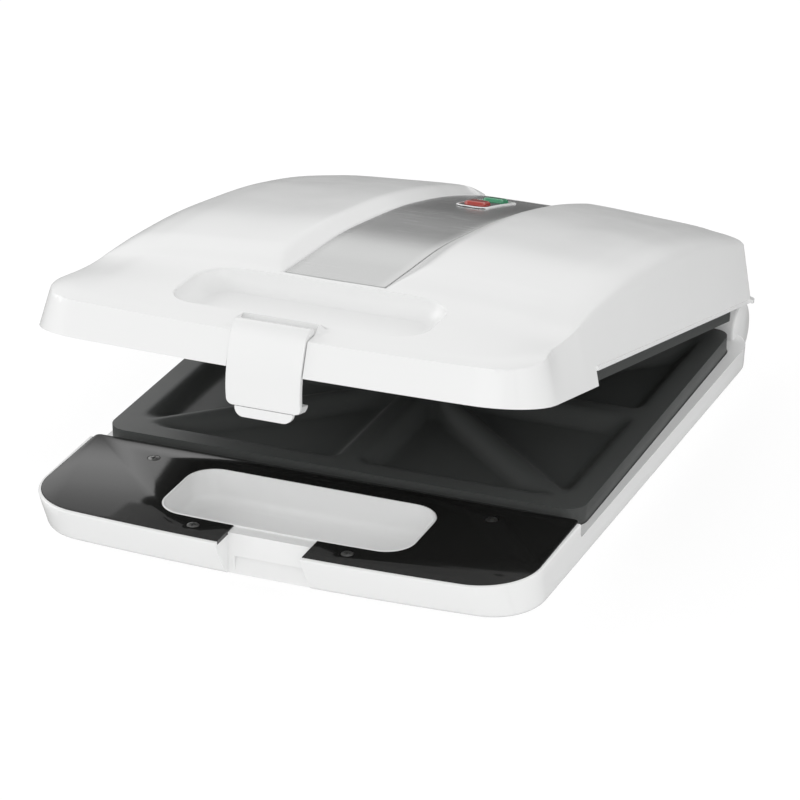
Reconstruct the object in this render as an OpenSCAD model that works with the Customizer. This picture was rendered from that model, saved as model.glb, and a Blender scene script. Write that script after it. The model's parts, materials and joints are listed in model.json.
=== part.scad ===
// Four slice sandwich toaster, millimetres, +Z up, front towards -Y.
// The origin is the bottom centre of the box around the appliance.

/* [Housing] */
// Width of the base at its rim
body_w = 271; // [240:1:320]
// Depth from the front rim to the back of the hinge barrel
body_d = 372.9; // [340:0.1:440]
// Height of the base shell up to the front deck
shell_h = 22.3; // [20:0.1:32]
// Height that the feet lift the shell
foot_h = 3; // [2:0.5:8]
// Radius of the rubber feet
foot_r = 9; // [6:0.5:11]
// Radius of the gentle bow along the front edge
bow_r = 1476; // [900:10:3000]
// Plan radius of the front corners at the rim
corner_r = 33; // [20:1:45]
// How far the front wall leans in at the bottom
front_lean = 12; // [4:0.5:14]
// How far the side walls lean in at the bottom
side_lean = 2; // [0.5:0.5:4]
// Depth of the side ledge below the deck
ledge_drop = 8; // [5:0.5:9]
// Thickness of the moulded floor
floor_t = 2.3; // [1.5:0.1:4]

/* [Deck] */
// Depth of the black deck plate
deck_d = 88; // [84:1:92]
// Thickness of the deck plate
deck_t = 2; // [1:0.1:3]
// White rim left round the deck plate
rim_w = 2; // [1:0.1:4]
// Length of the finger bowl in the base
grip_w = 130; // [90:1:150]
// Depth of the finger bowl, front to back
grip_d = 52.6; // [40:0.1:60]
// How deep the finger bowl is sunk
grip_sink = 17; // [10:0.5:18]
// Distance from the rim to the finger bowl
grip_setback = 22; // [20:0.5:26]
// Width of the raised lip round the finger bowl
lip_w = 1.2; // [0.8:0.1:2]

/* [Cooking plates] */
// Ledge left on each side of the cooking plates
plate_ledge = 7.5; // [6:0.1:14]
// Distance from the plates' rear edge to the back of the barrels
plate_behind = 38.9; // [37:0.1:60]
// Distance from the rim to the plates
plate_setback = 96; // [95:0.5:100]
// Thickness of the cast plates
plate_t = 3; // [2:0.1:4]
// Depth of the sandwich pockets
pocket_depth = 8; // [5:0.5:9]
// Width of the web between the pockets
web_w = 6; // [4:0.5:12]
// Flat ledge outside the pockets
crimp_w = 10; // [8:0.5:14]
// How far the pocket walls slope in
pocket_slope = 11; // [7:0.5:16]
// Height of the lower plate above the deck
plate_rise = 1.15; // [0.5:0.05:3]
// Gap between the closed plates
plate_gap = 0.4; // [0.3:0.1:1.5]
// Depth of the skirt round the lower plate
lower_skirt = 11.6; // [10:0.1:12.5]
// Height of the skirt round the upper plate
upper_skirt = 7; // [6:0.1:9]
// Radius of the heating elements
heater_r = 3.2; // [2.5:0.1:3.5]

/* [Lid] */
// How far the lid's sides stand in from the sides of the base
lid_inset = 3; // [2:0.1:4]
// How far the lid overhangs the rim in front
lid_overhang = 2.3; // [0:0.1:4]
// How far the lid reaches behind the hinge axis
lid_behind = 6.4; // [4:0.1:8]
// Thickness of the lid's walls
lid_wall = 2.8; // [2:0.1:4]
// Plan radius of the lid's front corners
lid_corner_r = 33.5; // [20:0.5:45]
// Inset of the shoulder line from the lid's edge
crease_in = 8.5; // [6:0.5:12]
// Width of the rolled shoulder above that line
roll_w = 16; // [8:1:24]
// Width of the metal panel
panel_w = 54; // [40:1:70]
// Where the metal panel starts, behind the lid's front edge
panel_from = 76.3; // [72:0.1:100]
// Distance from the metal panel's rear end to the lid's rear edge
panel_behind = 20.3; // [16:0.1:50]
// Depth of the channel that holds the panel
channel_depth = 4.3; // [2:0.1:6]
// Thickness of the metal panel
panel_t = 1; // [0.6:0.1:2]
// Length of the finger bowl in the lid
bowl_w = 131; // [90:1:140]
// Width of the finger bowl in the lid, front to back
bowl_d = 46.8; // [36:0.1:52]
// How deep the lid's finger bowl is sunk
bowl_sink = 10; // [6:0.5:12]
// Distance from the lid's front edge to its finger bowl
bowl_setback = 25; // [24:0.5:28]
// Plan radius of the corners of that bowl
bowl_corner_r = 15; // [10:0.5:20]

/* [Hinge] */
// How far the lid stands open in the modelled pose
rest_open = 14; // [0:1:86]
// Radius of the barrels along the back of the base
barrel_r = 15.3; // [13:0.1:15.5]
// Height of the hinge axis below the deck
axis_drop = 8; // [7:0.5:8]
// Radius of the hinge pins
pin_r = 3; // [2:0.1:4]
// Length of the hinge pins
pin_len = 50; // [40:1:54]
// Radius of the bosses on the lid's lugs
lug_r = 9; // [7:0.5:9]
// Width of the lid's lugs
lug_w = 20; // [12:1:24]
// Middle of each lug from the centre line
lug_x = 87.5; // [70:0.5:94]
// Side play between lug and barrel
side_play = 1; // [0.4:0.1:2]
// Radial running clearance on the pins
run_gap = 0.06; // [0.02:0.01:0.1]

/* [Latch] */
// Width of the latch clip
clip_w = 38; // [28:1:46]
// Width of the hook behind the clip's foot
hook_w = 35; // [20:1:36]
// Width of the finger tab under the clip
tab_w = 30; // [16:1:34]
// Height of the finger tab
tab_h = 5.2; // [4:0.1:6]
// Free space beside the clip in the base
notch_play = 3; // [1:0.5:4]
// Free space beside the clip in the lid
clip_play = 1.2; // [0.8:0.1:2]
// Radius of the latch pin
latch_pin_r = 1.5; // [1:0.1:2]
// Radius of the clip's barrel round the pin
clip_barrel_r = 5.5; // [4:0.1:6]
// Height of the clip's top above its pin
clip_top = 7.5; // [6.5:0.1:8]
// Distance from the clip's pin down to its foot
clip_drop = 33.3; // [32:0.1:34]
// Thickness of the clip's front wall
clip_t = 3; // [2:0.1:4]

/* [Indicators] */
// Width of the light bezel
bezel_w = 18; // [14:1:24]
// Length of the light bezel
bezel_d = 54; // [48:1:60]
// Thickness of the light bezel
bezel_t = 1; // [0.6:0.1:2]
// Where the middle of the bezel lies behind the lid's front edge
bezel_at = 283.5; // [250:0.5:300]
// Width of each lens
lens_w = 11; // [8:0.5:13]
// Length of each lens
lens_d = 13; // [9:0.5:16]
// Distance between the middles of the lenses
lens_pitch = 28; // [20:0.5:34]

/* [Screws] */
// Radius of the screw shanks
screw_r = 1.5; // [1:0.1:2]
// Radius of the screw heads
head_r = 3.2; // [2.5:0.1:4]
// Height of the screw heads
head_h = 2; // [1:0.1:3]
// Clearance round screws, lenses and plates in their holes
fit_gap = 0.15; // [0.1:0.05:0.4]

/* [Hidden] */
$fn = 48;

white = [0.93, 0.94, 0.93];
black = [0.07, 0.07, 0.07];
coated = [0.32, 0.32, 0.31];
steel = [0.7, 0.7, 0.7];

front_y = -body_d / 2;
deck_z = foot_h + shell_h;
hinge_y = body_d / 2 - barrel_r;
hinge_z = deck_z - axis_drop;
floor_z = foot_h + floor_t;
plate_w = body_w - 2 * plate_ledge;
plate_d = body_d - plate_setback - plate_behind;
plate_y = front_y + plate_setback + plate_d / 2;
plate_z = deck_z + plate_rise;
seat_z = plate_z - lower_skirt;
under_z = plate_z - pocket_depth - plate_t + 0.5;
cavity_w = plate_w - 14;
cavity_d = plate_d - 14;
screw_x = plate_w / 2 - 6;
screw_y = plate_d / 2 - 24;

lid_y = front_y - lid_overhang;
lid_len = hinge_y + lid_behind - lid_y;
lid_w = body_w - 2 * lid_inset;
lid_hw = lid_w / 2;
panel_to = lid_len - panel_behind;
lid_bow = bow_r - 180;
lid_z = plate_z + plate_gap;
flange_z = lid_z + upper_skirt;
flange_t = 2;
apron_len = plate_y - plate_d / 2 - lid_y - 0.4;
tray_z = floor_z + 2;

notch_hw = clip_w / 2 + notch_play;
clip_hw = clip_w / 2 + clip_play;
notch_wall_y = front_y + 14;
sill_z = deck_z - 0.5;
latch_y = lid_y + 8.5;
latch_z = deck_z + 16.5;
catch_z = latch_z - clip_drop + 4.3;
catch_d = 3;

// Heights above the deck along the lid, as [distance behind the front edge, height]
crest_line = [[0, 19], [7.3, 20.2], [42, 28.2], [76.3, 36.2], [90, 41], [106.3, 45.3], [146.3, 51.8],
    [186.3, 55], [226.3, 57], [256.3, 56.9], [286.3, 55.8], [316.3, 53.5], [346.3, 50.4], [380, 46]];
shoulder_line = [[0, 18.8], [20, 20], [52, 22], [84, 23.4], [142, 28.4], [194, 31.6],
    [241, 34.2], [290, 35.2], [338, 35.4], [380, 33.5]];
// Fall of the crown across the lid, as [distance from the middle, fall]
crown_line = [[0, 0], [41, 0], [73, 1.7], [99, 3.4], [112, 5.2], [132, 7], [180, 8]];

// Smooth curve through a list of points
function seg(t, p, i = 0) = (i >= len(p) - 2 || t < p[i + 1][0]) ? i : seg(t, p, i + 1);
function rise(p, i) = let (a = max(i - 1, 0), b = min(i + 1, len(p) - 1))
    (p[b][1] - p[a][1]) / (p[b][0] - p[a][0]);
function curve(t, p) = let (i = seg(t, p), h = p[i + 1][0] - p[i][0],
    s = min(max((t - p[i][0]) / h, 0), 1), q = s * s, c = q * s)
    (2 * c - 3 * q + 1) * p[i][1] + (c - 2 * q + s) * rise(p, i) * h
    + (3 * q - 2 * c) * p[i + 1][1] + (c - q) * rise(p, i + 1) * h;
function blend(t, a, b) = let (s = min(max((t - a) / (b - a), 0), 1)) s * s * (3 - 2 * s);

// Plan outline: bowed front with corner radius rf, straight sides and back
function arc(cx, cy, r, a0, a1, n) = [for (i = [0:n]) let (a = a0 + (a1 - a0) * i / n)
    [cx + r * cos(a), cy + r * sin(a)]];
function outline(hw, yf, yr, bow, rf, rr, n = 12) =
    let (a = asin((hw - rf) / (bow - rf)), cy = yf + bow - (bow - rf) * cos(a))
    concat(arc(0, yf + bow, bow, -90 - a, -90 + a, n),
        arc(hw - rf, cy, rf, -90 + a, 0, n),
        arc(hw - rr, yr - rr, rr, 0, 90, 8),
        arc(rr - hw, yr - rr, rr, 90, 180, 8),
        arc(rf - hw, cy, rf, 180, 270 - a, n));

// Rectangle with rounded corners, exact arcs
module rounded(w, d, r)
{
    square([w, d - 2 * r], center = true);
    square([w - 2 * r, d], center = true);
    for (x = [-1, 1], y = [-1, 1])
        translate([x * (w / 2 - r), y * (d / 2 - r)])
            circle(r);
}

// Extrusion along X of a profile given in Y and Z
module along_x(x0, x1)
{
    translate([x0, 0, 0])
        rotate([90, 0, 90])
            linear_extrude(x1 - x0)
                children();
}

module each_side()
{
    children();
    mirror([1, 0, 0])
        children();
}

// Turns a lid piece from its closed place to the modelled pose
module lid_pose()
{
    translate([0, hinge_y, hinge_z])
        rotate([-rest_open, 0, 0])
            translate([0, -hinge_y, -hinge_z])
                children();
}

module screw(length, r = screw_r, head = head_r)
{
    cylinder(r = head, h = head_h);
    translate([0, 0, -length])
        cylinder(r = r, h = length);
}

// ---- base ----

deck_screw_at = [[body_w / 2 - 45.2, deck_d - 13.7], [grip_w / 2 - 24.7, grip_setback - 8]];
foot_at = [[body_w / 2 - 27.5, 44], [body_w / 2 - 27.5, body_d - 53.9]];

module base_tub()
{
    intersection() {
        hull() {
            translate([0, 0, foot_h])
                linear_extrude(0.1)
                    polygon(outline(body_w / 2 - side_lean, front_y + front_lean, hinge_y - 4, bow_r,
                        corner_r + front_lean, 20));
            translate([0, 0, deck_z - 2])
                linear_extrude(1.8)
                    polygon(outline(body_w / 2, front_y, hinge_y - 2, bow_r, corner_r, 22));
        }
        union() {
            translate([-body_w, front_y - 1, 0])
                cube([body_w * 2, body_d, deck_z - ledge_drop]);
            translate([-body_w, front_y - 1, 0])
                cube([body_w * 2, deck_d + 1 - 2, deck_z + 5]);
        }
    }
}

module grip_plan(extra)
{
    polygon(outline(grip_w / 2 + extra, front_y + grip_setback - extra,
        front_y + grip_setback + grip_d + extra, bow_r, 14 + extra, 14 + extra));
}

module base_shell()
{
    color(white)
        difference() {
            union() {
                difference() {
                    union() {
                        base_tub();
                        intersection() {
                            translate([0, hinge_y, hinge_z])
                                rotate([0, 90, 0])
                                    cylinder(r = barrel_r, h = body_w - 19, center = true, $fn = 96);
                            translate([-body_w, 0, foot_h])
                                cube([body_w * 2, body_d, body_d]);
                        }
                    }
                    // room for the plate and its fittings
                    translate([0, plate_y, seat_z])
                        linear_extrude(shell_h)
                            rounded(plate_w + 0.8, plate_d + 0.8, 10);
                    translate([0, plate_y, floor_z])
                        linear_extrude(shell_h)
                            rounded(cavity_w, cavity_d, 12);
                    // seat of the deck plate and the space below it
                    translate([0, 0, deck_z - deck_t])
                        linear_extrude(shell_h)
                            polygon(outline(body_w / 2 - rim_w - 3.5, front_y + rim_w,
                                front_y + deck_d + 4, bow_r, corner_r - 2, 3));
                    translate([0, 0, floor_z])
                        linear_extrude(shell_h)
                            polygon(outline(body_w / 2 - 12, front_y + 18, front_y + deck_d - 5,
                                bow_r, corner_r, 8));
                }
                // finger bowl with its lip
                translate([0, 0, foot_h + 0.5])
                    linear_extrude(shell_h - deck_t - 0.5)
                        grip_plan(2.4);
                translate([0, 0, deck_z - deck_t - 1])
                    linear_extrude(deck_t + 1.2)
                        grip_plan(lip_w);
                // walls of the latch notch, its sill, and bosses for the deck screws
                intersection() {
                    base_tub();
                    union() {
                        translate([-notch_hw - 3, front_y + 1, foot_h])
                            cube([notch_hw * 2 + 6, grip_setback - 1.6, shell_h - deck_t]);
                        translate([-notch_hw + fit_gap, front_y + 1, foot_h])
                            cube([(notch_hw - fit_gap) * 2, grip_setback - 1.6, sill_z - foot_h]);
                        each_side()
                            for (p = deck_screw_at)
                                translate([p[0], front_y + p[1], foot_h + 0.5])
                                    cylinder(r = 4.2, h = shell_h - deck_t - 0.5);
                    }
                }
                // posts for the reflector
                each_side()
                    for (y = [-60, 60])
                        translate([70, plate_y - 12 + y, foot_h + 0.5])
                            cylinder(r = 4, h = tray_z - foot_h - 0.5);
            }
            translate([0, 0, deck_z - grip_sink])
                linear_extrude(shell_h)
                    grip_plan(0);
            // latch notch with the slot for the hook
            translate([-notch_hw, front_y - 20, 0])
                cube([notch_hw * 2, notch_wall_y - front_y + 20, deck_z + 20]);
            along_x(-hook_w / 2 - 1, hook_w / 2 + 1)
                polygon([[notch_wall_y - 1, catch_z], [notch_wall_y + catch_d, catch_z],
                    [notch_wall_y, foot_h + 1.3], [notch_wall_y - 1, foot_h + 1.3]]);
            each_side() {
                for (p = deck_screw_at)
                    translate([p[0], front_y + p[1], deck_z - 14])
                        cylinder(r = screw_r + fit_gap, h = 20);
                // gaps for the lugs of the lid
                translate([lug_x - lug_w / 2 - side_play, hinge_y - 10, hinge_z - lug_r - 1.3])
                    cube([lug_w + 2 * side_play, 40, 50]);
                translate([lug_x, hinge_y, hinge_z])
                    rotate([0, 90, 0])
                        cylinder(r = pin_r, h = pin_len, center = true);
                for (y = [-screw_y, screw_y])
                    translate([screw_x, plate_y + y, 0]) {
                        cylinder(r = screw_r + 0.4, h = deck_z);
                        cylinder(r = head_r + 0.4, h = foot_h + head_h + 0.5);
                    }
                for (p = foot_at)
                    translate([p[0], front_y + p[1], 0])
                        cylinder(r = 3.1, h = foot_h + 1.7);
            }
            // way of the cord
            translate([0, hinge_y + barrel_r + 1, hinge_z])
                rotate([90, 0, 0])
                    cylinder(r = 5.5, h = 10);
            translate([0, hinge_y + barrel_r + 1, hinge_z])
                rotate([90, 0, 0])
                    cylinder(r = 3.4, h = 60);
        }
}

module deck_plate()
{
    color(black)
        difference() {
            translate([0, 0, deck_z - deck_t])
                linear_extrude(deck_t)
                    polygon(outline(body_w / 2 - rim_w - 3.5 - fit_gap, front_y + rim_w + fit_gap,
                        front_y + deck_d + 2, bow_r, corner_r - 2, 3));
            translate([0, 0, deck_z - deck_t - 1])
                linear_extrude(deck_t + 2)
                    grip_plan(lip_w + fit_gap);
            translate([-notch_hw, front_y - 1, 0])
                cube([notch_hw * 2, grip_setback + 1, deck_z + 5]);
            each_side()
                for (p = deck_screw_at)
                    translate([p[0], front_y + p[1], 0]) {
                        cylinder(r = screw_r + fit_gap, h = deck_z + 1);
                        translate([0, 0, deck_z - 0.8])
                            cylinder(r = head_r + fit_gap, h = 2);
                    }
        }
}

module deck_screws()
{
    color(steel)
        each_side()
            for (p = deck_screw_at)
                translate([p[0], front_y + p[1], deck_z - 0.8])
                    difference() {
                        screw(10);
                        translate([0, 0, head_h - 1])
                            for (a = [0, 90])
                                rotate(a)
                                    translate([-2, -0.4, 0])
                                        cube([4, 0.8, 3]);
                        translate([0, 0, 1])
                            cylinder(r = head_r + 1, h = 3);
                    }
}

module rubber_feet()
{
    color(black)
        each_side()
            for (p = foot_at)
                translate([p[0], front_y + p[1], 0]) {
                    cylinder(r = foot_r, h = foot_h);
                    cylinder(r = 3, h = foot_h + 1.6);
                }
}

// ---- cooking plates ----

// Incircle data of a triangle, then the triangle moved in by d on each side
function tri_in(p, d) = let (a = norm(p[1] - p[2]), b = norm(p[2] - p[0]), c = norm(p[0] - p[1]),
    m = (a * p[0] + b * p[1] + c * p[2]) / (a + b + c),
    area = abs((p[1][0] - p[0][0]) * (p[2][1] - p[0][1]) - (p[2][0] - p[0][0]) * (p[1][1] - p[0][1])),
    r = area / (a + b + c)) [for (q = p) m + (q - m) * (1 - d / r)];

// Three sided bowl between two heights
module tri_bowl(p, top_in, bottom_in, top_z, bottom_z)
{
    t = tri_in(p, top_in);
    b = tri_in(p, bottom_in);
    polyhedron(points = concat([for (q = b) [q[0], q[1], bottom_z]], [for (q = t) [q[0], q[1], top_z - 1]],
            [for (q = t) [q[0], q[1], top_z]]),
        faces = concat([[0, 1, 2], [8, 7, 6]], [for (k = [0, 3], i = [0:2])
            [k + i, k + 3 + i, k + 3 + (i + 1) % 3, k + (i + 1) % 3]]));
}

// All eight halves of the pockets
module pockets(top_in, bottom_in, top_z, bottom_z)
{
    x1 = plate_w / 2 - crimp_w;
    y1 = plate_d / 2 - crimp_w;
    w = web_w / 2;
    for (sx = [0, 1], sy = [0, 1])
        mirror([sx, 0, 0])
            mirror([0, sy, 0]) {
                tri_bowl([[w, w], [x1, w], [x1, y1]], top_in, bottom_in, top_z, bottom_z);
                tri_bowl([[w, w], [x1, y1], [w, y1]], top_in, bottom_in, top_z, bottom_z);
            }
}

// Plate with its cooking face at z = 0 and its skirt below
module cooking_plate(skirt)
{
    difference() {
        union() {
            translate([0, 0, -skirt])
                linear_extrude(skirt)
                    difference() {
                        rounded(plate_w, plate_d, 10);
                        rounded(plate_w - 5, plate_d - 5, 7.5);
                    }
            translate([0, 0, -plate_t])
                linear_extrude(plate_t)
                    rounded(plate_w, plate_d, 10);
            pockets(-1, pocket_slope - 1.5, -0.5, -pocket_depth - plate_t + 0.5);
            for (x = [-1, 1], y = [-1, 1])
                translate([x * screw_x, y * screw_y, -skirt])
                    cylinder(r = 3.4, h = skirt - 1);
        }
        pockets(1.3, pocket_slope, 1, -pocket_depth);
        for (x = [-1, 1], y = [-1, 1])
            translate([x * screw_x, y * screw_y, -skirt - 1])
                cylinder(r = screw_r + fit_gap, h = skirt);
    }
}

// Closed loop of heating tube with two ends that turn up
module heater_loop()
{
    w = plate_w / 2 - 53;
    d = plate_d / 2 - 53;
    r = 20;
    for (s = [-1, 1]) {
        translate([s * w, 0, 0])
            rotate([90, 0, 0])
                cylinder(r = heater_r, h = 2 * (d - r), center = true);
        translate([0, s * d, 0])
            rotate([0, 90, 0])
                cylinder(r = heater_r, h = 2 * (w - r), center = true);
        for (t = [-1, 1])
            translate([s * (w - r), t * (d - r), 0])
                rotate([0, 0, s > 0 ? (t > 0 ? 0 : 270) : (t > 0 ? 90 : 180)])
                    rotate_extrude(angle = 90)
                        translate([r, 0])
                            circle(r = heater_r);
    }
    for (s = [-1, 1])
        translate([s * 8, d, 0])
            rotate([-90, 0, 0])
                cylinder(r = heater_r - 0.5, h = 30);
}

// Tray of folded sheet, its floor at z = 0 and its rim above
module tray(w, d, h, t)
{
    difference() {
        linear_extrude(h)
            rounded(w, d, 10);
        translate([0, 0, t])
            linear_extrude(h)
                rounded(w - 2 * t, d - 2 * t, 10 - t);
    }
}

module lower_cooking_plate()
{
    color(coated)
        translate([0, plate_y, plate_z])
            cooking_plate(lower_skirt);
}

module lower_plate_screws()
{
    color(steel)
        for (x = [-1, 1], y = [-1, 1])
            translate([x * screw_x, plate_y + y * screw_y, foot_h + head_h + 0.5])
                mirror([0, 0, 1])
                    screw(lower_skirt + seat_z - foot_h - head_h - 5);
}

module lower_heater()
{
    color(steel)
        translate([0, plate_y, under_z - heater_r])
            heater_loop();
}

module lower_reflector()
{
    color(steel)
        translate([0, plate_y - 12, tray_z])
            tray(cavity_w - 12, cavity_d - 40, 3.4, 0.6);
}

module terminal_block()
{
    color(white)
        translate([0, plate_y + cavity_d / 2 - 8.5, floor_z])
            difference() {
                translate([-20, -7, 0])
                    cube([40, 14, 7]);
                for (x = [-12, 0, 12])
                    translate([x, 0, 3])
                        cylinder(r = 2.4, h = 10);
            }
}

module thermal_fuse()
{
    color("tan")
        translate([-30, plate_y - 20, tray_z + 0.6 + 2.2])
            rotate([0, 90, 0])
                cylinder(r = 2.2, h = 24, center = true);
}

module cord_gland()
{
    color(black)
        translate([0, hinge_y + barrel_r - 0.6, hinge_z])
            rotate([90, 0, 0])
                difference() {
                    cylinder(r = 5.4, h = 8.3);
                    translate([0, 0, -1])
                        cylinder(r = 3.4, h = 12);
                }
}

module hinge_pins()
{
    color(steel)
        each_side()
            translate([lug_x, hinge_y, hinge_z])
                rotate([0, 90, 0])
                    cylinder(r = pin_r, h = pin_len, center = true);
}

// ---- lid, drawn closed and turned by lid_pose ----

front_turn = lid_hw - lid_corner_r;
turn_u = lid_bow - sqrt(pow(lid_bow - lid_corner_r, 2) - pow(front_turn, 2));
bow_end = lid_bow * front_turn / (lid_bow - lid_corner_r);
rear_turn_r = 12;

// Front and back end of the lid at a distance x from the middle
function lid_front(x) = abs(x) <= bow_end ? lid_bow - sqrt(lid_bow * lid_bow - x * x)
    : turn_u - sqrt(max(0, pow(lid_corner_r, 2) - pow(abs(x) - front_turn, 2)));
function lid_back(x) = abs(x) <= lid_hw - rear_turn_r ? lid_len
    : lid_len - rear_turn_r + sqrt(max(0, pow(rear_turn_r, 2) - pow(abs(x) - lid_hw + rear_turn_r, 2)));
// Distance inside the lid's outline
function lid_depth(x, u) = let (a = abs(x), p = a - front_turn, q = u - turn_u,
    m = a - lid_hw + rear_turn_r, n = u - lid_len + rear_turn_r)
    max(0, (p > 0 && q < 0) ? lid_corner_r - norm([p, q])
    : (m > 0 && n > 0) ? rear_turn_r - norm([m, n])
    : min(lid_hw - a, lid_bow - norm([x, u - lid_bow]), lid_len - u));
// Height of the lid's skin above the deck
function lid_height(x, u) = let (d = lid_depth(x, u), f = 1 - blend(u, 6, 56),
    e = crease_in * (1 - f) + 2.3 * f, w = roll_w * (1 - f) + 4 * f,
    k = curve(u, shoulder_line),
    t = curve(u, crest_line) - curve(abs(x), crown_line) * blend(u, 8, 80),
    b = lid_z - deck_z)
    d < e ? b + (k - b) * d / e
    : d - e < w ? k + (t - k) * pow(1 - pow(1 - (d - e) / w, 2.5), 0.4) : t;
function panel_height(u) = curve(u, crest_line)
    - channel_depth * blend(u, panel_from - 4, panel_from + 28);

half_columns = [0, 0.3, 0.55, 0.75, 0.84, 0.89, 0.925, 0.937, 0.975, 1];
columns = concat([for (i = [len(half_columns) - 1:-1:1]) -half_columns[i]], half_columns);
rows = [0, 1.2, 2.4, 5, 12, 30, 50, 66, 76, 90, 106, 130, 160, 196, 236, 276, 312, 337, 347, 354,
    357.8, 362, 366.3];

// Body under the lid's skin, lowered by sink
module lid_form(cols, lines, sink)
{
    n = len(cols);
    m = len(lines);
    full = lines[m - 1];
    base_z = lid_z - sink;
    skin = [for (i = [0:n - 1], j = [0:m - 1]) let (x = cols[i] * lid_hw,
        u = lid_front(x) + (lid_back(x) - lid_front(x)) * lines[j] / full,
        edge = i == 0 || j == 0 || i == n - 1 || j == m - 1)
        [x, lid_y + u, edge ? base_z : max(deck_z + lid_height(x, u) - sink, base_z + 0.05)]];
    last = (n - 1) * m;
    polyhedron(points = skin, faces = concat(
        [for (j = [0:m - 2]) [m, j + 1, j]], [[m, 2 * m - 1, m - 1]],
        [for (i = [1:n - 3]) [i * m, (i + 1) * m, i * m + m - 1]],
        [for (i = [1:n - 3]) [(i + 1) * m, (i + 2) * m - 1, i * m + m - 1]],
        [for (j = [0:m - 2]) [last - m, last + j, last + j + 1]], [[last - m, last + m - 1, last - 1]],
        [for (i = [0:n - 2], j = [0:m - 2]) [i * m + j, i * m + j + 1, (i + 1) * m + j]],
        [for (i = [0:n - 2], j = [0:m - 2]) [(i + 1) * m + j, i * m + j + 1, (i + 1) * m + j + 1]]));
}

// Strip that follows the metal panel between two heights above it
module panel_band(u0, u1, low, high, steps = 18)
{
    us = [for (i = [0:steps]) u0 + (u1 - u0) * i / steps];
    polygon(concat([for (u = us) [lid_y + u, deck_z + panel_height(u) + low]],
        [for (i = [steps:-1:0]) [lid_y + us[i], deck_z + panel_height(us[i]) + high]]));
}

// Cutter for the channel: straight floor and sloping sides
module channel_cut()
{
    steps = 18;
    w0 = panel_w / 2 + 0.4;
    w1 = w0 + channel_depth + 6;
    us = [for (i = [0:steps]) panel_from - 0.4 + (panel_to + 0.8 - panel_from) * i / steps];
    polyhedron(points = [for (u = us) let (z = deck_z + panel_height(u) - panel_t - 0.1)
            each [[-w0, lid_y + u, z], [w0, lid_y + u, z],
                [w1, lid_y + u, z + channel_depth + panel_t + 8],
                [-w1, lid_y + u, z + channel_depth + panel_t + 8]]],
        faces = concat([[3, 2, 1, 0], [4 * steps, 4 * steps + 1, 4 * steps + 2, 4 * steps + 3]],
            [for (i = [0:steps - 1], k = [0:3]) [4 * i + k, 4 * i + (k + 1) % 4,
                4 * i + 4 + (k + 1) % 4, 4 * i + 4 + k]]));
}

// Finger bowl of the lid: steep rear wall, soft ends and a floor that rises to the front
module bowl_cut()
{
    corner = 5;
    n = 4 * (corner + 1);
    rings = 4;
    spot = function(x, u, fall) [x, lid_y + u, deck_z + curve(u, crest_line) - fall];
    loop = function(t) let (c = 1 - cos(90 * t), hw = bowl_w / 2 - 16 * c, r = bowl_corner_r - 6 * c,
        u0 = bowl_setback + 20 * c, u1 = bowl_setback + bowl_d - 5 * c)
        [for (q = [0:3], i = [0:corner]) let (a = 90 * q + 90 * i / corner,
            x = (q == 0 || q == 3 ? 1 : -1) * (hw - r) + r * cos(a),
            u = (q < 2 ? u1 - r : u0 + r) + r * sin(a))
            spot(x, u, bowl_sink * sin(90 * t))];
    rim = loop(0);
    points = concat([spot(0, bowl_setback + bowl_d / 2 + 7, bowl_sink)],
        [for (k = [rings:-1:1], p = loop(k / rings)) p], rim,
        [for (p = rim) [p[0], p[1], deck_z + 60]]);
    polyhedron(points = points, faces = concat(
        [for (i = [0:n - 1]) [0, 1 + i, 1 + (i + 1) % n]],
        [for (k = [0:rings], i = [0:n - 1]) [1 + k * n + i, 1 + (k + 1) * n + i,
            1 + k * n + (i + 1) % n]],
        [for (k = [0:rings], i = [0:n - 1]) [1 + (k + 1) * n + i,
            1 + (k + 1) * n + (i + 1) % n, 1 + k * n + (i + 1) % n]],
        [[for (i = [n - 1:-1:0]) 1 + (rings + 1) * n + i]]));
}

module lens_plan(at, extra)
{
    translate([0, lid_y + bezel_at + at])
        rounded(lens_w + 2 * extra, lens_d + 2 * extra, 3 + extra);
}

board_z = 42;
cover_screw_at = [[lid_hw - 32.5, 30], [lid_hw - 32.5, apron_len - 11.9]];

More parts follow.
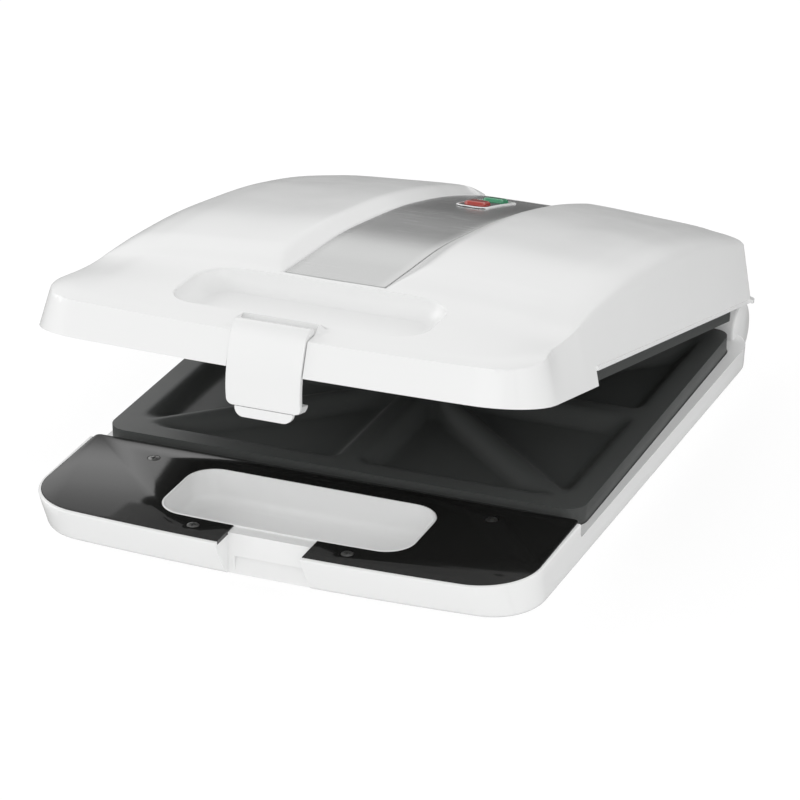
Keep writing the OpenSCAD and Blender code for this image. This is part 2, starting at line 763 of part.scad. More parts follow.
module lid_shell()
{
    coarse = [for (i = [-4:4]) sin(i * 90 / 4)];
    coarse_rows = [0, 6, 50, 76, 106, 150, 196, 256, 312, 346, 358, 366.3];
    color(white)
        lid_pose()
            difference() {
                union() {
                    difference() {
                        lid_form(columns, rows, 0);
                        // open below, behind the apron
                        translate([-lid_w, lid_y + apron_len, 0])
                            cube([lid_w * 2, lid_len, flange_z]);
                        // inside of the shell
                        difference() {
                            intersection() {
                                lid_form(coarse, coarse_rows, lid_wall);
                                translate([0, lid_y + apron_len + (lid_len - apron_len - 14) / 2 + 2, 0])
                                    linear_extrude(150)
                                        rounded(lid_w - 23, lid_len - apron_len - 14, 12);
                            }
                            along_x(-panel_w / 2 - 9, panel_w / 2 + 9)
                                panel_band(panel_from - 10, lid_len, -panel_t - 2.4, 20);
                        }
                        // front space, closed by the under cover
                        difference() {
                            translate([0, 0, lid_z - 1])
                                linear_extrude(13)
                                    polygon(outline(lid_hw - 9, lid_y + 8, lid_y + apron_len - 6, lid_bow,
                                        lid_corner_r - 8, 8));
                            translate([-notch_hw - 3, lid_y, 0])
                                cube([notch_hw * 2 + 6, 24, 60]);
                            each_side()
                                for (p = cover_screw_at)
                                    translate([p[0], lid_y + p[1], lid_z + 2])
                                        cylinder(r = 4, h = 30);
                        }
                    }
                    // flange round the plate
                    translate([0, 0, flange_z])
                        linear_extrude(flange_t)
                            difference() {
                                polygon(outline(lid_hw, lid_y, lid_y + lid_len, lid_bow, lid_corner_r,
                                    rear_turn_r));
                                translate([0, plate_y])
                                    rounded(plate_w - 20, plate_d - 20, 12);
                                translate([-lid_w, lid_y - 1])
                                    square([lid_w * 2, apron_len + 3]);
                            }
                    // lugs that run on the hinge pins
                    each_side()
                        along_x(lug_x - lug_w / 2, lug_x + lug_w / 2) {
                            translate([hinge_y, hinge_z])
                                circle(lug_r);
                            translate([hinge_y - 6, hinge_z])
                                square([12, flange_z + 1 - hinge_z]);
                        }
                    // posts for the reflector and the light board
                    intersection() {
                        lid_form(coarse, coarse_rows, 1);
                        for (x = [-70, 70], y = [-60, 60])
                            translate([x, plate_y + y, lid_z + 20])
                                cylinder(r = 4, h = 60);
                    }
                    for (x = [-16, 16])
                        translate([x, lid_y + bezel_at, deck_z + board_z])
                            cylinder(r = 3, h = panel_height(bezel_at) - panel_t - board_z - 0.5);
                }
                channel_cut();
                bowl_cut();
                translate([-clip_hw, lid_y - 10, 0])
                    cube([clip_hw * 2, latch_y - lid_y + clip_top + 10.6, 80]);
                each_side()
                    translate([lug_x, hinge_y, hinge_z])
                        rotate([0, 90, 0])
                            cylinder(r = pin_r + run_gap, h = lug_w + 10, center = true);
                translate([0, latch_y, latch_z])
                    rotate([0, 90, 0])
                        cylinder(r = latch_pin_r, h = clip_w + 12, center = true);
                for (x = [-1, 1], y = [-1, 1])
                    translate([x * screw_x, plate_y + y * screw_y, flange_z - 1]) {
                        cylinder(r = screw_r + 0.4, h = flange_t + 2);
                        translate([0, 0, flange_t + 1])
                            cylinder(r = head_r + 0.6, h = head_h + 3);
                    }
                linear_extrude(150) {
                    lens_plan(-lens_pitch / 2, fit_gap);
                    lens_plan(lens_pitch / 2, fit_gap);
                }
                each_side()
                    for (p = cover_screw_at)
                        translate([p[0], lid_y + p[1], lid_z])
                            cylinder(r = screw_r + fit_gap, h = 12);
            }
}

module trim_panel()
{
    color(steel)
        lid_pose()
            difference() {
                along_x(-panel_w / 2, panel_w / 2)
                    panel_band(panel_from, panel_to, -panel_t, 0);
                linear_extrude(150) {
                    lens_plan(-lens_pitch / 2, fit_gap);
                    lens_plan(lens_pitch / 2, fit_gap);
                }
            }
}

module indicator_bezel()
{
    color(white)
        lid_pose()
            difference() {
                intersection() {
                    along_x(-bezel_w / 2, bezel_w / 2)
                        panel_band(bezel_at - bezel_d / 2, bezel_at + bezel_d / 2, 0, bezel_t);
                    translate([0, lid_y + bezel_at, 0])
                        linear_extrude(150)
                            rounded(bezel_w, bezel_d, 5);
                }
                linear_extrude(150) {
                    lens_plan(-lens_pitch / 2, fit_gap);
                    lens_plan(lens_pitch / 2, fit_gap);
                }
            }
}

module lens(at)
{
    top = deck_z + panel_height(bezel_at + at) + bezel_t + 0.8;
    translate([0, 0, deck_z + board_z - 1.6 + 1.6])
        linear_extrude(top - deck_z - board_z)
            lens_plan(at, 0);
}

module red_lens()
{
    color([0.8, 0.08, 0.05])
        lid_pose()
            lens(-lens_pitch / 2);
}

module green_lens()
{
    color([0.15, 0.55, 0.2])
        lid_pose()
            lens(lens_pitch / 2);
}

module indicator_board()
{
    color([0.1, 0.35, 0.2])
        lid_pose()
            translate([0, lid_y + bezel_at, deck_z + board_z - 1.6]) {
                linear_extrude(1.6)
                    rounded(44, 50, 2);
                for (y = [-lens_pitch / 2, lens_pitch / 2])
                    translate([0, y, -5])
                        cylinder(r = 2.5, h = 5.5);
            }
}

module upper_cooking_plate()
{
    color(coated)
        lid_pose()
            translate([0, plate_y, lid_z])
                mirror([0, 0, 1])
                    cooking_plate(upper_skirt);
}

module upper_plate_screws()
{
    color(steel)
        lid_pose()
            for (x = [-1, 1], y = [-1, 1])
                translate([x * screw_x, plate_y + y * screw_y, flange_z + flange_t])
                    screw(flange_t + upper_skirt - 3);
}

module upper_heater()
{
    color(steel)
        lid_pose()
            translate([0, plate_y, lid_z + pocket_depth + plate_t - 0.5 + heater_r])
                heater_loop();
}

module upper_reflector()
{
    color(steel)
        lid_pose()
            translate([0, plate_y, lid_z + 20])
                mirror([0, 0, 1])
                    tray(cavity_w - 12, cavity_d - 20, 3, 0.6);
}

module thermostat()
{
    color("gray")
        lid_pose()
            translate([38, plate_y - 18, lid_z + pocket_depth + plate_t - 0.5])
                cylinder(r = 7, h = 5);
}

module under_cover()
{
    color(white)
        lid_pose()
            difference() {
                translate([0, 0, lid_z])
                    linear_extrude(2)
                        polygon(outline(lid_hw - 9 - fit_gap, lid_y + 8 + fit_gap,
                            lid_y + apron_len - 6 - fit_gap, lid_bow, lid_corner_r - 8, 8));
                translate([-notch_hw - 3 - fit_gap, lid_y, 0])
                    cube([notch_hw * 2 + 6 + 2 * fit_gap, 24 + fit_gap, 60]);
                each_side()
                    for (p = cover_screw_at)
                        translate([p[0], lid_y + p[1], lid_z - 1])
                            cylinder(r = screw_r + fit_gap, h = 5);
                each_side()
                    for (p = cover_screw_at)
                        translate([p[0], lid_y + p[1], lid_z - 1])
                            cylinder(r = head_r + fit_gap, h = 2);
            }
}

module under_cover_screws()
{
    color(steel)
        lid_pose()
            each_side()
                for (p = cover_screw_at)
                    translate([p[0], lid_y + p[1], lid_z + 1])
                        mirror([0, 0, 1])
                            translate([0, 0, 0])
                                intersection() {
                                    screw(9);
                                    translate([-9, -9, -20])
                                        cube([18, 18, 20.9]);
                                }
}

module latch_pin()
{
    color(steel)
        lid_pose()
            translate([0, latch_y, latch_z])
                rotate([0, 90, 0])
                    cylinder(r = latch_pin_r, h = clip_w + 12, center = true);
}

// Side view of the clip: rounded top over the barrel, and a wall that curves back at its foot
module clip_side()
{
    // [distance in front of the pin, height above the pin] from the top down to the foot
    cover = [[-2, clip_top - 0.8], [0, clip_top], [2.7, clip_top - 0.3], [5, clip_top - 1.7],
        [6.7, clip_top - 4.2], [7.8, -0.3], [8.5, -5], [9, -10.5], [9.1, -15.5], [8.9, -19.5],
        [8.1, -24.5], [6.8, -29], [5.2, -clip_drop]];
    back = [[5.2, -clip_drop], [6.8, -29], [8.1, -24.5], [8.9, -19.5], [9.1, -15.5], [9, -10.5],
        [8, -5]];
    polygon(concat([for (p = cover) [latch_y - p[0], latch_z + p[1]]],
        [for (p = back) [latch_y - p[0] + clip_t, latch_z + p[1]]],
        [[latch_y + 3, latch_z - 3], [latch_y + 4.6, latch_z + 3]]));
}

module latch_clip()
{
    foot_y = latch_y - 5.2;
    foot_z = latch_z - clip_drop;
    color(white)
        lid_pose()
            difference() {
                union() {
                    along_x(-clip_w / 2, clip_w / 2) {
                        clip_side();
                        translate([latch_y, latch_z])
                            circle(clip_barrel_r);
                    }
                    // finger tab with round corners
                    translate([0, foot_y + clip_t, foot_z + 1])
                        rotate([90, 0, 0])
                            linear_extrude(clip_t - 0.4)
                                difference() {
                                    rounded(tab_w, 2 * tab_h + 2, tab_h - 0.4);
                                    translate([-tab_w, 0])
                                        square(tab_w * 2);
                                }
                    // hook that snaps under the catch of the base
                    along_x(-hook_w / 2, hook_w / 2)
                        polygon([[foot_y + 0.8, foot_z + 3.2], [latch_y + 6.5, foot_z + 3.2],
                            [latch_y + 6.5, foot_z + 1.8], [latch_y + 4, foot_z + 0.2],
                            [foot_y + 0.8, foot_z + 0.2]]);
                }
                translate([0, latch_y, latch_z])
                    rotate([0, 90, 0])
                        cylinder(r = latch_pin_r + run_gap, h = clip_w + 10, center = true);
            }
}

base_shell();
deck_plate();
deck_screws();
rubber_feet();
lower_cooking_plate();
lower_plate_screws();
lower_heater();
lower_reflector();
terminal_block();
thermal_fuse();
cord_gland();
hinge_pins();
lid_shell();
trim_panel();
indicator_bezel();
red_lens();
green_lens();
indicator_board();
upper_cooking_plate();
upper_plate_screws();
upper_heater();
upper_reflector();
thermostat();
under_cover();
under_cover_screws();
latch_pin();
latch_clip();
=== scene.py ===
import bpy, bmesh, json, math
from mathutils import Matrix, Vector


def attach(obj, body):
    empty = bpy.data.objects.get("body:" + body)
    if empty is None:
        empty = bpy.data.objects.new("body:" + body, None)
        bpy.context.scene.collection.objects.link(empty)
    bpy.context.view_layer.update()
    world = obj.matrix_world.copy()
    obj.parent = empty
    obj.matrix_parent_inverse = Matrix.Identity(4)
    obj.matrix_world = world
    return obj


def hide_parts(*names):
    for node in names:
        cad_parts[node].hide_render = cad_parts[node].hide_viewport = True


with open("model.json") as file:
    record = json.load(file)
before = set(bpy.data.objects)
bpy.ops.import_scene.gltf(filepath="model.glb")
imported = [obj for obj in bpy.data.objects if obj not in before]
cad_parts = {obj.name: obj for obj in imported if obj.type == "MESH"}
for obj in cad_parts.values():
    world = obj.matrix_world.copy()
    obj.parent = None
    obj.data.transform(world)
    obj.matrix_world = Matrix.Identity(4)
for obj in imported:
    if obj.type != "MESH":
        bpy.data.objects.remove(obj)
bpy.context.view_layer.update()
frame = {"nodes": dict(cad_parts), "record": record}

nodes = frame["nodes"]
mm = 0.001  # the pieces' sizes are written in millimetres
print("frame loaded with", len(nodes), "nodes")

# sizes that the base, the plates and the lid share
housing = dict(width=271.0, depth=372.9, footHeight=3.0, shellHeight=22.3, bow=1476.0, axisDrop=8.0,
               barrelRadius=15.3)
frontY = -housing["depth"] / 2
deckZ = housing["footHeight"] + housing["shellHeight"]
hingeY = housing["depth"] / 2 - housing["barrelRadius"]
hingeZ = deckZ - housing["axisDrop"]
restOpen = math.radians(14)
plate = dict(width=256.0, depth=238.0, setback=96.0, rise=1.15, gap=0.4, lowerSkirt=11.6, upperSkirt=7.0,
             screwFromSide=6.0, screwFromEnd=24.0)
plateY = frontY + plate["setback"] + plate["depth"] / 2
plateZ = deckZ + plate["rise"]
screwX, screwY = plate["width"] / 2 - plate["screwFromSide"], plate["depth"] / 2 - plate["screwFromEnd"]
plateScrews = [(sx * screwX, plateY + sy * screwY) for sx in (-1, 1) for sy in (-1, 1)]
lid = dict(width=265.0, overhang=2.3, behind=6.4, cornerRadius=33.5, bow=1296.0, rearCorner=12.0,
           apronGap=0.4)
lidY = frontY - lid["overhang"]
lidLength = hingeY + lid["behind"] - lidY
lidZ = plateZ + plate["gap"]
flangeZ = lidZ + plate["upperSkirt"]
apronLength = plateY - plate["depth"] / 2 - lidY - lid["apronGap"]
wide, tall = 160, 60  # reach of the cutters, past the sides and above the base


def smoothCurve(t, points):
    # smooth height at t through the given points
    i = 0
    while i < len(points) - 2 and t >= points[i + 1][0]:
        i += 1

    def steep(k):
        a, b = max(k - 1, 0), min(k + 1, len(points) - 1)
        return (points[b][1] - points[a][1]) / (points[b][0] - points[a][0])

    h = points[i + 1][0] - points[i][0]
    s = min(max((t - points[i][0]) / h, 0), 1)
    q, c = s * s, s * s * s
    return ((2 * c - 3 * q + 1) * points[i][1] + (c - 2 * q + s) * steep(i) * h
            + (3 * q - 2 * c) * points[i + 1][1] + (c - q) * steep(i + 1) * h)


def blendStep(t, a, b):
    # 0 below a, 1 above b and smooth between them
    s = min(max((t - a) / (b - a), 0), 1)
    return s * s * (3 - 2 * s)


def softMin(a, b, k):
    # the lower of two heights, rounded over where they are closer than k
    h = max(k - abs(a - b), 0) / k
    return min(a, b) - h * h * k / 4


def planOutline(halfWidth, front, back, bow, frontRadius, rearRadius, n=24):
    # bowed front, round corners, straight sides and back, anticlockwise from the front left
    a = math.asin((halfWidth - frontRadius) / (bow - frontRadius))
    cy = front + bow - (bow - frontRadius) * math.cos(a)

    def arc(cx, cy0, r, a0, a1, m):
        return [(cx + r * math.cos(a0 + (a1 - a0) * i / m), cy0 + r * math.sin(a0 + (a1 - a0) * i / m))
                for i in range(m + 1)]

    q = math.pi / 2
    return (arc(0, front + bow, bow, -q - a, -q + a, n)[:-1]
            + arc(halfWidth - frontRadius, cy, frontRadius, -q + a, 0, n)
            + arc(halfWidth - rearRadius, back - rearRadius, rearRadius, 0, q, max(n // 2, 6))
            + arc(rearRadius - halfWidth, back - rearRadius, rearRadius, q, 2 * q, max(n // 2, 6))
            + arc(frontRadius - halfWidth, cy, frontRadius, 2 * q, 3 * q - a, n)[:-1])


def quarterTurn(n):
    # angles from 0 to a right angle in n steps
    return [math.pi / 2 * i / n for i in range(n + 1)]


def roundedRect(width, depth, radius, cx=0.0, cy=0.0, n=10):
    points = []
    for k, (sx, sy) in enumerate([(1, 1), (-1, 1), (-1, -1), (1, -1)]):
        for i in range(n + 1):
            a = math.pi / 2 * (k + i / n)
            points.append((cx + sx * (width / 2 - radius) + radius * math.cos(a),
                           cy + sy * (depth / 2 - radius) + radius * math.sin(a)))
    return points


def meshFrom(name, vertices, faces, smoothAngle=35):
    mesh = bpy.data.meshes.new(name)
    mesh.from_pydata([(x * mm, y * mm, z * mm) for x, y, z in vertices], [], faces)
    mesh.update()
    body = bmesh.new()
    body.from_mesh(mesh)
    bmesh.ops.recalc_face_normals(body, faces=body.faces)
    body.to_mesh(mesh)
    body.free()
    piece = bpy.data.objects.new(name, mesh)
    bpy.context.scene.collection.objects.link(piece)
    shade(piece, smoothAngle)
    return piece


def shade(piece, smoothAngle=35):
    piece.data.shade_smooth()
    piece.data.set_sharp_from_angle(angle=math.radians(smoothAngle))


def loftRings(name, rings, smoothAngle=35):
    # rings are closed loops of the same length, from the lowest to the highest
    count = len(rings[0])
    vertices = [p for ring in rings for p in ring]
    faces = [tuple(reversed(range(count)))]
    for k in range(len(rings) - 1):
        for i in range(count):
            j = (i + 1) % count
            faces.append((k * count + i, k * count + j, (k + 1) * count + j, (k + 1) * count + i))
    faces.append(tuple((len(rings) - 1) * count + i for i in range(count)))
    return meshFrom(name, vertices, faces, smoothAngle)


def prism(name, outline, low, high):
    return loftRings(name, [[(x, y, low) for x, y in outline], [(x, y, high) for x, y in outline]])


def sideView(name, profile, x0, x1):
    # a closed profile in Y and Z drawn along X
    return loftRings(name, [[(x, y, z) for y, z in profile] for x in (x0, x1)])


def frontView(name, profile, y0, y1):
    # a closed profile in X and Z drawn along Y
    return loftRings(name, [[(x, y, z) for x, z in profile] for y in (y0, y1)])


def spline(points, steps):
    # smooth open curve through the points
    result = []
    for i in range(len(points) - 1):
        a, b, c, d = (points[min(max(i + k, 0), len(points) - 1)] for k in (-1, 0, 1, 2))
        for k in range(steps):
            t = k / steps
            result.append(tuple(0.5 * (2 * q + (r - p) * t + (2 * p - 5 * q + 4 * r - w) * t * t
                                       + (3 * q - p - 3 * r + w) * t ** 3) for p, q, r, w in zip(a, b, c, d)))
    return result + [points[-1]]


def settle(piece):
    # turns a piece with its modifiers into a plain mesh
    graph = bpy.context.evaluated_depsgraph_get()
    result = bpy.data.meshes.new_from_object(piece.evaluated_get(graph))
    piece.modifiers.clear()
    old = piece.data
    piece.data = result
    bpy.data.meshes.remove(old)


def carve(piece, cutter, kind="DIFFERENCE"):
    # cuts a piece with another one, joins the two or keeps what they share
    step = piece.modifiers.new("carve", "BOOLEAN")
    step.operation = kind
    step.solver = "MANIFOLD"
    step.object = cutter
    settle(piece)
    if len(piece.data.polygons) == 0:
        raise RuntimeError("cutting " + piece.name + " with " + cutter.name + " left nothing")
    bpy.data.objects.remove(cutter)
    return piece


def soften(piece, width, angle=50, steps=3):
    # rounds the edges that turn more than the angle
    step = piece.modifiers.new("soften", "BEVEL")
    step.width = width * mm
    step.segments = steps
    step.limit_method = "ANGLE"
    step.angle_limit = math.radians(angle)
    step.use_clamp_overlap = True
    settle(piece)


def cylinderAlong(name, axis, centre, radius, low, high, n=48):
    # the centre holds the two coordinates across the axis, in the order x, y, z
    rings = []
    for level in (low, high):
        ring = []
        for i in range(n):
            a = 2 * math.pi * i / n
            u, v = radius * math.cos(a), radius * math.sin(a)
            spots = {"x": (level, centre[0] + u, centre[1] + v),
                     "y": (centre[0] + v, level, centre[1] + u),
                     "z": (centre[0] + u, centre[1] + v, level)}
            ring.append(spots[axis])
        rings.append(ring)
    return loftRings(name, rings)


def box(name, low, high):
    (x0, y0, z0), (x1, y1, z1) = low, high
    return loftRings(name, [[(x0, y0, z), (x1, y0, z), (x1, y1, z), (x0, y1, z)] for z in (z0, z1)])


def openLid(piece):
    # turns a lid piece, built closed, to the stored pose
    c, s = math.cos(restOpen), math.sin(restOpen)
    oy, oz = hingeY * mm, hingeZ * mm
    for vertex in piece.data.vertices:
        x, y, z = vertex.co
        dy, dz = y - oy, z - oz
        vertex.co = (x, oy + dy * c + dz * s, oz - dy * s + dz * c)
    piece.data.update()
    return piece


def setMaterial(piece, material):
    piece.data.materials.clear()
    piece.data.materials.append(material)


class Wire:
    # a socket that can be used in plain expressions
    def __init__(self, graph, socket):
        self.graph, self.socket = graph, socket

    def math(self, operation, other=None, flip=False):
        first, second = (other, self) if flip else (self, other)
        return self.graph.node("ShaderNodeMath", {"operation": operation}, [first, second])

    def __add__(self, other):
        return self.math("ADD", other)

    def __radd__(self, other):
        return self.math("ADD", other, flip=True)

    def __sub__(self, other):
        return self.math("SUBTRACT", other)

    def __rsub__(self, other):
        return self.math("SUBTRACT", other, flip=True)

    def __mul__(self, other):
        return self.math("MULTIPLY", other)

    def __rmul__(self, other):
        return self.math("MULTIPLY", other, flip=True)

    def __truediv__(self, other):
        return self.math("DIVIDE", other)

    def __rtruediv__(self, other):
        return self.math("DIVIDE", other, flip=True)

    def __pow__(self, other):
        return self.math("POWER", other)

    def low(self, other):
        return self.math("MINIMUM", other)

    def high(self, other):
        return self.math("MAXIMUM", other)

    def within(self, a, b):
        # 0 below a, 1 above b and smooth between them
        smooth = {"interpolation_type": "SMOOTHSTEP"}
        return self.graph.node("ShaderNodeMapRange", smooth, [self, a, b, 0.0, 1.0])


class Graph:
    # a node tree; node() adds one node with its settings, then the values or wires of its sockets
    def node(self, kind, settings, values, output=0):
        made = self.tree.nodes.new(kind)
        for key, value in settings.items():
            if key == "stops":
                ramp = made.color_ramp
                while len(ramp.elements) < len(value):
                    ramp.elements.new(0.5)
                for element, (position, colour) in zip(ramp.elements, value):
                    element.position, element.color = position, colour
            else:
                setattr(made, key, value)
        pairs = values.items() if isinstance(values, dict) else enumerate(values)
        for key, value in pairs:
            if isinstance(value, Wire):
                self.tree.links.new(value.socket, made.inputs[key])
            elif value is not None:
                made.inputs[key].default_value = value
        return Wire(self, made.outputs[output])


class Form(Graph):
    # a Geometry Nodes tree that puts one shape on every point it is given
    def __init__(self, name, *numbers):
        self.tree = bpy.data.node_groups.new(name, "GeometryNodeTree")
        sockets = [("Points", "NodeSocketGeometry")] + [(key, "NodeSocketFloat") for key in numbers]
        for key, kind in sockets + [("Material", "NodeSocketMaterial")]:
            self.tree.interface.new_socket(key, in_out="INPUT", socket_type=kind)
        self.tree.interface.new_socket("Mesh", in_out="OUTPUT", socket_type="NodeSocketGeometry")
        self.start = self.tree.nodes.new("NodeGroupInput")
        self.end = self.tree.nodes.new("NodeGroupOutput")

    def given(self, key):
        return Wire(self, self.start.outputs[key])

    def cylinder(self, radius, depth, sides=32, rows=1, rings=1):
        return self.node("GeometryNodeMeshCylinder", {}, {
            "Vertices": sides, "Side Segments": rows, "Fill Segments": rings,
            "Radius": radius, "Depth": depth})

    def moved(self, shape, x=0.0, y=0.0, z=0.0):
        shift = self.node("ShaderNodeCombineXYZ", {}, [x, y, z])
        return self.node("GeometryNodeTransform", {}, {"Geometry": shape, "Translation": shift})

    def joined(self, kind, first, second):
        made = self.tree.nodes.new("GeometryNodeMeshBoolean")
        made.operation, made.solver = kind, "MANIFOLD"
        self.tree.links.new(first.socket, made.inputs["Mesh 1" if kind == "DIFFERENCE" else "Mesh 2"])
        self.tree.links.new(second.socket, made.inputs["Mesh 2"])
        return Wire(self, made.outputs["Mesh"])

    def place(self):
        # x, y and z of the vertex
        spot = self.node("GeometryNodeInputPosition", {}, [])
        parts = self.tree.nodes.new("ShaderNodeSeparateXYZ")
        self.tree.links.new(spot.socket, parts.inputs[0])
        return [Wire(self, socket) for socket in parts.outputs]

    def finish(self, shape, turn=0.0):
        # one shape on each point, made real and painted
        spin = self.node("ShaderNodeCombineXYZ", {}, [turn, 0.0, 0.0])
        many = self.node("GeometryNodeInstanceOnPoints", {}, {
            "Points": self.given("Points"), "Instance": shape, "Rotation": spin})
        plain = self.node("GeometryNodeRealizeInstances", {}, [many])
        painted = self.node("GeometryNodeSetMaterial", {}, {
            "Geometry": plain, "Material": self.given("Material")})
        self.tree.links.new(painted.socket, self.end.inputs["Mesh"])

    def make(self, name, spots, material, **numbers):
        points = bpy.data.meshes.new(name)
        points.from_pydata([(x * mm, y * mm, z * mm) for x, y, z in spots], [], [])
        piece = bpy.data.objects.new(name, points)
        bpy.context.scene.collection.objects.link(piece)
        step = piece.modifiers.new("form", "NODES")
        step.node_group = self.tree
        for item in self.tree.interface.items_tree:
            if item.in_out == "INPUT" and item.name in numbers:
                step[item.identifier] = float(numbers[item.name])
            elif item.in_out == "INPUT" and item.name == "Material":
                step[item.identifier] = material
        settle(piece)
        shade(piece)
        return piece


class Finish(Graph):
    # one material with a Principled shader
    def __init__(self, name, **fixed):
        self.material = bpy.data.materials.new(name)
        self.material.use_nodes = True
        self.tree = self.material.node_tree
        self.shader = self.tree.nodes["Principled BSDF"]
        for key, value in fixed.items():
            self.shader.inputs[key.replace("_", " ")].default_value = value
        self.place = self.node("ShaderNodeTexCoord", {}, [], "Object")

    def scaled(self, x, y, z):
        return self.node("ShaderNodeMapping", {}, {"Vector": self.place, "Scale": (x, y, z)})

    def noise(self, scale, detail=3.0, rough=0.55, place=None):
        return self.node("ShaderNodeTexNoise", {}, {
            "Vector": place or self.place, "Scale": scale, "Detail": detail, "Roughness": rough}, "Fac")

    def mixColour(self, factor, a, b):
        made = self.tree.nodes.new("ShaderNodeMix")
        made.data_type = "RGBA"
        for socket, value in ((made.inputs[0], factor), (made.inputs[6], a), (made.inputs[7], b)):
            if isinstance(value, Wire):
                self.tree.links.new(value.socket, socket)
            elif isinstance(value, tuple):
                socket.default_value = (*value[:3], 1.0)
            else:
                socket.default_value = value
        return Wire(self, made.outputs[2])

    def bump(self, height, distance, strength=1.0):
        return self.node("ShaderNodeBump", {}, {
            "Height": height, "Distance": distance, "Strength": strength}, "Normal")

    def use(self, **links):
        for key, value in links.items():
            self.tree.links.new(value.socket, self.shader.inputs[key.replace("_", " ")])
        return self.material


def glossWhite(name, tint=(0.85, 0.853, 0.85)):
    # injection moulded shell: faint flow marks, fine orange peel and a few dull rubbed patches
    f = Finish(name, Specular_IOR_Level=0.5, IOR=1.48)
    cloud = f.noise(9.0, 2.0)
    fine = f.noise(900.0, 2.0)
    colour = f.mixColour(cloud, tuple(c * 0.985 for c in tint), tint)
    rub = f.noise(45.0, 4.0)
    rough = 0.17 + rub * 0.1 + fine * 0.04
    peel = f.noise(420.0, 1.0)
    return f.use(Base_Color=colour, Roughness=rough, Normal=f.bump(peel, 0.00002, 0.35))


def glossBlack(name):
    # polished deck: soft haze and a little dust
    f = Finish(name, IOR=1.5)
    cloud = f.noise(14.0, 3.0)
    dust = f.noise(1400.0, 2.0).within(0.66, 0.8)
    colour = f.mixColour(dust * 0.3, (0.011, 0.011, 0.0105), (0.05, 0.05, 0.048))
    rough = 0.05 + cloud * 0.07 + dust * 0.2
    return f.use(Base_Color=colour, Roughness=rough, Normal=f.bump(f.noise(350.0, 1.0), 0.00002, 0.3))


def nonStick(name):
    # coated aluminium: fine grain, pale specks and darker clouds
    f = Finish(name, Metallic=0.0, IOR=1.45)
    grain = f.noise(2600.0, 3.0)
    cloud = f.noise(22.0, 4.0)
    speck = f.noise(1900.0, 1.0).within(0.68, 0.76)
    colour = f.mixColour(speck * 0.5, (0.074, 0.078, 0.076), (0.16, 0.165, 0.16))
    colour = f.mixColour(cloud * 0.35, colour, (0.058, 0.06, 0.058))
    rough = 0.36 + cloud * 0.14
    return f.use(Base_Color=colour, Roughness=rough, Normal=f.bump(grain, 0.00004, 0.5))


def brushedSteel(name, colour, along, base):
    # grinding lines run along one axis
    f = Finish(name, Metallic=1.0)
    coarse, fine = 12, 2600
    lines = f.noise(1.0, 4.0, 0.6, f.scaled(*[coarse if axis == along else fine for axis in "xyz"]))
    cloud = f.noise(30.0, 3.0)
    tint = f.mixColour(lines, tuple(c * 0.86 for c in colour), colour)
    rough = base + lines * 0.12 + cloud * 0.06
    return f.use(Base_Color=tint, Roughness=rough, Normal=f.bump(lines, 0.00002, 0.4))


def plainMetal(name, colour, rough):
    f = Finish(name, Metallic=1.0)
    cloud = f.noise(160.0, 4.0)
    tint = f.mixColour(cloud, tuple(c * 0.8 for c in colour), colour)
    grain = f.noise(900.0, 2.0)
    return f.use(Base_Color=tint, Roughness=rough + cloud * 0.15, Normal=f.bump(grain, 0.00002, 0.4))


def rubber(name):
    f = Finish(name, IOR=1.5)
    cloud = f.noise(120.0, 4.0)
    colour = f.mixColour(cloud, (0.018, 0.018, 0.018), (0.04, 0.04, 0.04))
    grain = f.noise(1500.0, 2.0)
    return f.use(Base_Color=colour, Roughness=0.7 + cloud * 0.15, Normal=f.bump(grain, 0.00005, 0.5))


def mattePlastic(name, colour):
    f = Finish(name, IOR=1.5)
    cloud = f.noise(60.0, 3.0)
    tint = f.mixColour(cloud, tuple(c * 0.88 for c in colour), colour)
    grain = f.noise(1200.0, 2.0)
    return f.use(Base_Color=tint, Roughness=0.5 + cloud * 0.12, Normal=f.bump(grain, 0.00003, 0.4))


def clearLens(name, colour, deep):
    # coloured clear plastic with fine ribs
    f = Finish(name, IOR=1.49, Coat_Weight=0.6, Coat_Roughness=0.05)
    cloud = f.noise(180.0, 2.0)
    tint = f.mixColour(cloud, deep, colour)
    ribs = f.node("ShaderNodeTexWave", {"wave_type": "BANDS", "bands_direction": "X"},
                  {"Vector": f.place, "Scale": 420.0, "Distortion": 0.0}, "Fac")
    return f.use(Base_Color=tint, Roughness=0.12 + cloud * 0.06, Normal=f.bump(ribs, 0.0001, 0.25))


whiteShell = glossWhite("whiteShell")
whiteClip = glossWhite("whiteClip", (0.86, 0.863, 0.86))
deckBlack = glossBlack("deckBlack")
plateCoating = nonStick("plateCoating")
trimSatin = brushedSteel("trimSatin", (0.66, 0.665, 0.66), "x", 0.16)
screwSteel = plainMetal("screwSteel", (0.3, 0.3, 0.295), 0.28)
heaterSteel = plainMetal("heaterSteel", (0.34, 0.31, 0.27), 0.45)
trayAluminium = brushedSteel("trayAluminium", (0.72, 0.72, 0.72), "y", 0.32)
footRubber = rubber("footRubber")
ceramic = mattePlastic("ceramic", (0.72, 0.69, 0.62))
boardGreen = mattePlastic("boardGreen", (0.03, 0.15, 0.06))
lensRed = clearLens("lensRed", (0.5, 0.045, 0.025), (0.34, 0.02, 0.012))
lensGreen = clearLens("lensGreen", (0.06, 0.4, 0.2), (0.02, 0.22, 0.1))
# near black matte material: painted shade for the bezel's sunk floor round the lenses
bezelShade = mattePlastic("bezelShade", (0.06, 0.062, 0.06))
slotLook = {"white_shell": whiteShell, "clip_white": whiteClip, "deck_black": deckBlack,
            "plate_coating": plateCoating, "trim_steel": trimSatin, "screw_steel": screwSteel,
            "heater_steel": heaterSteel, "tray_aluminium": trayAluminium, "foot_rubber": footRubber,
            "white_inner": ceramic, "board_green": boardGreen, "lens_red": lensRed, "lens_green": lensGreen}
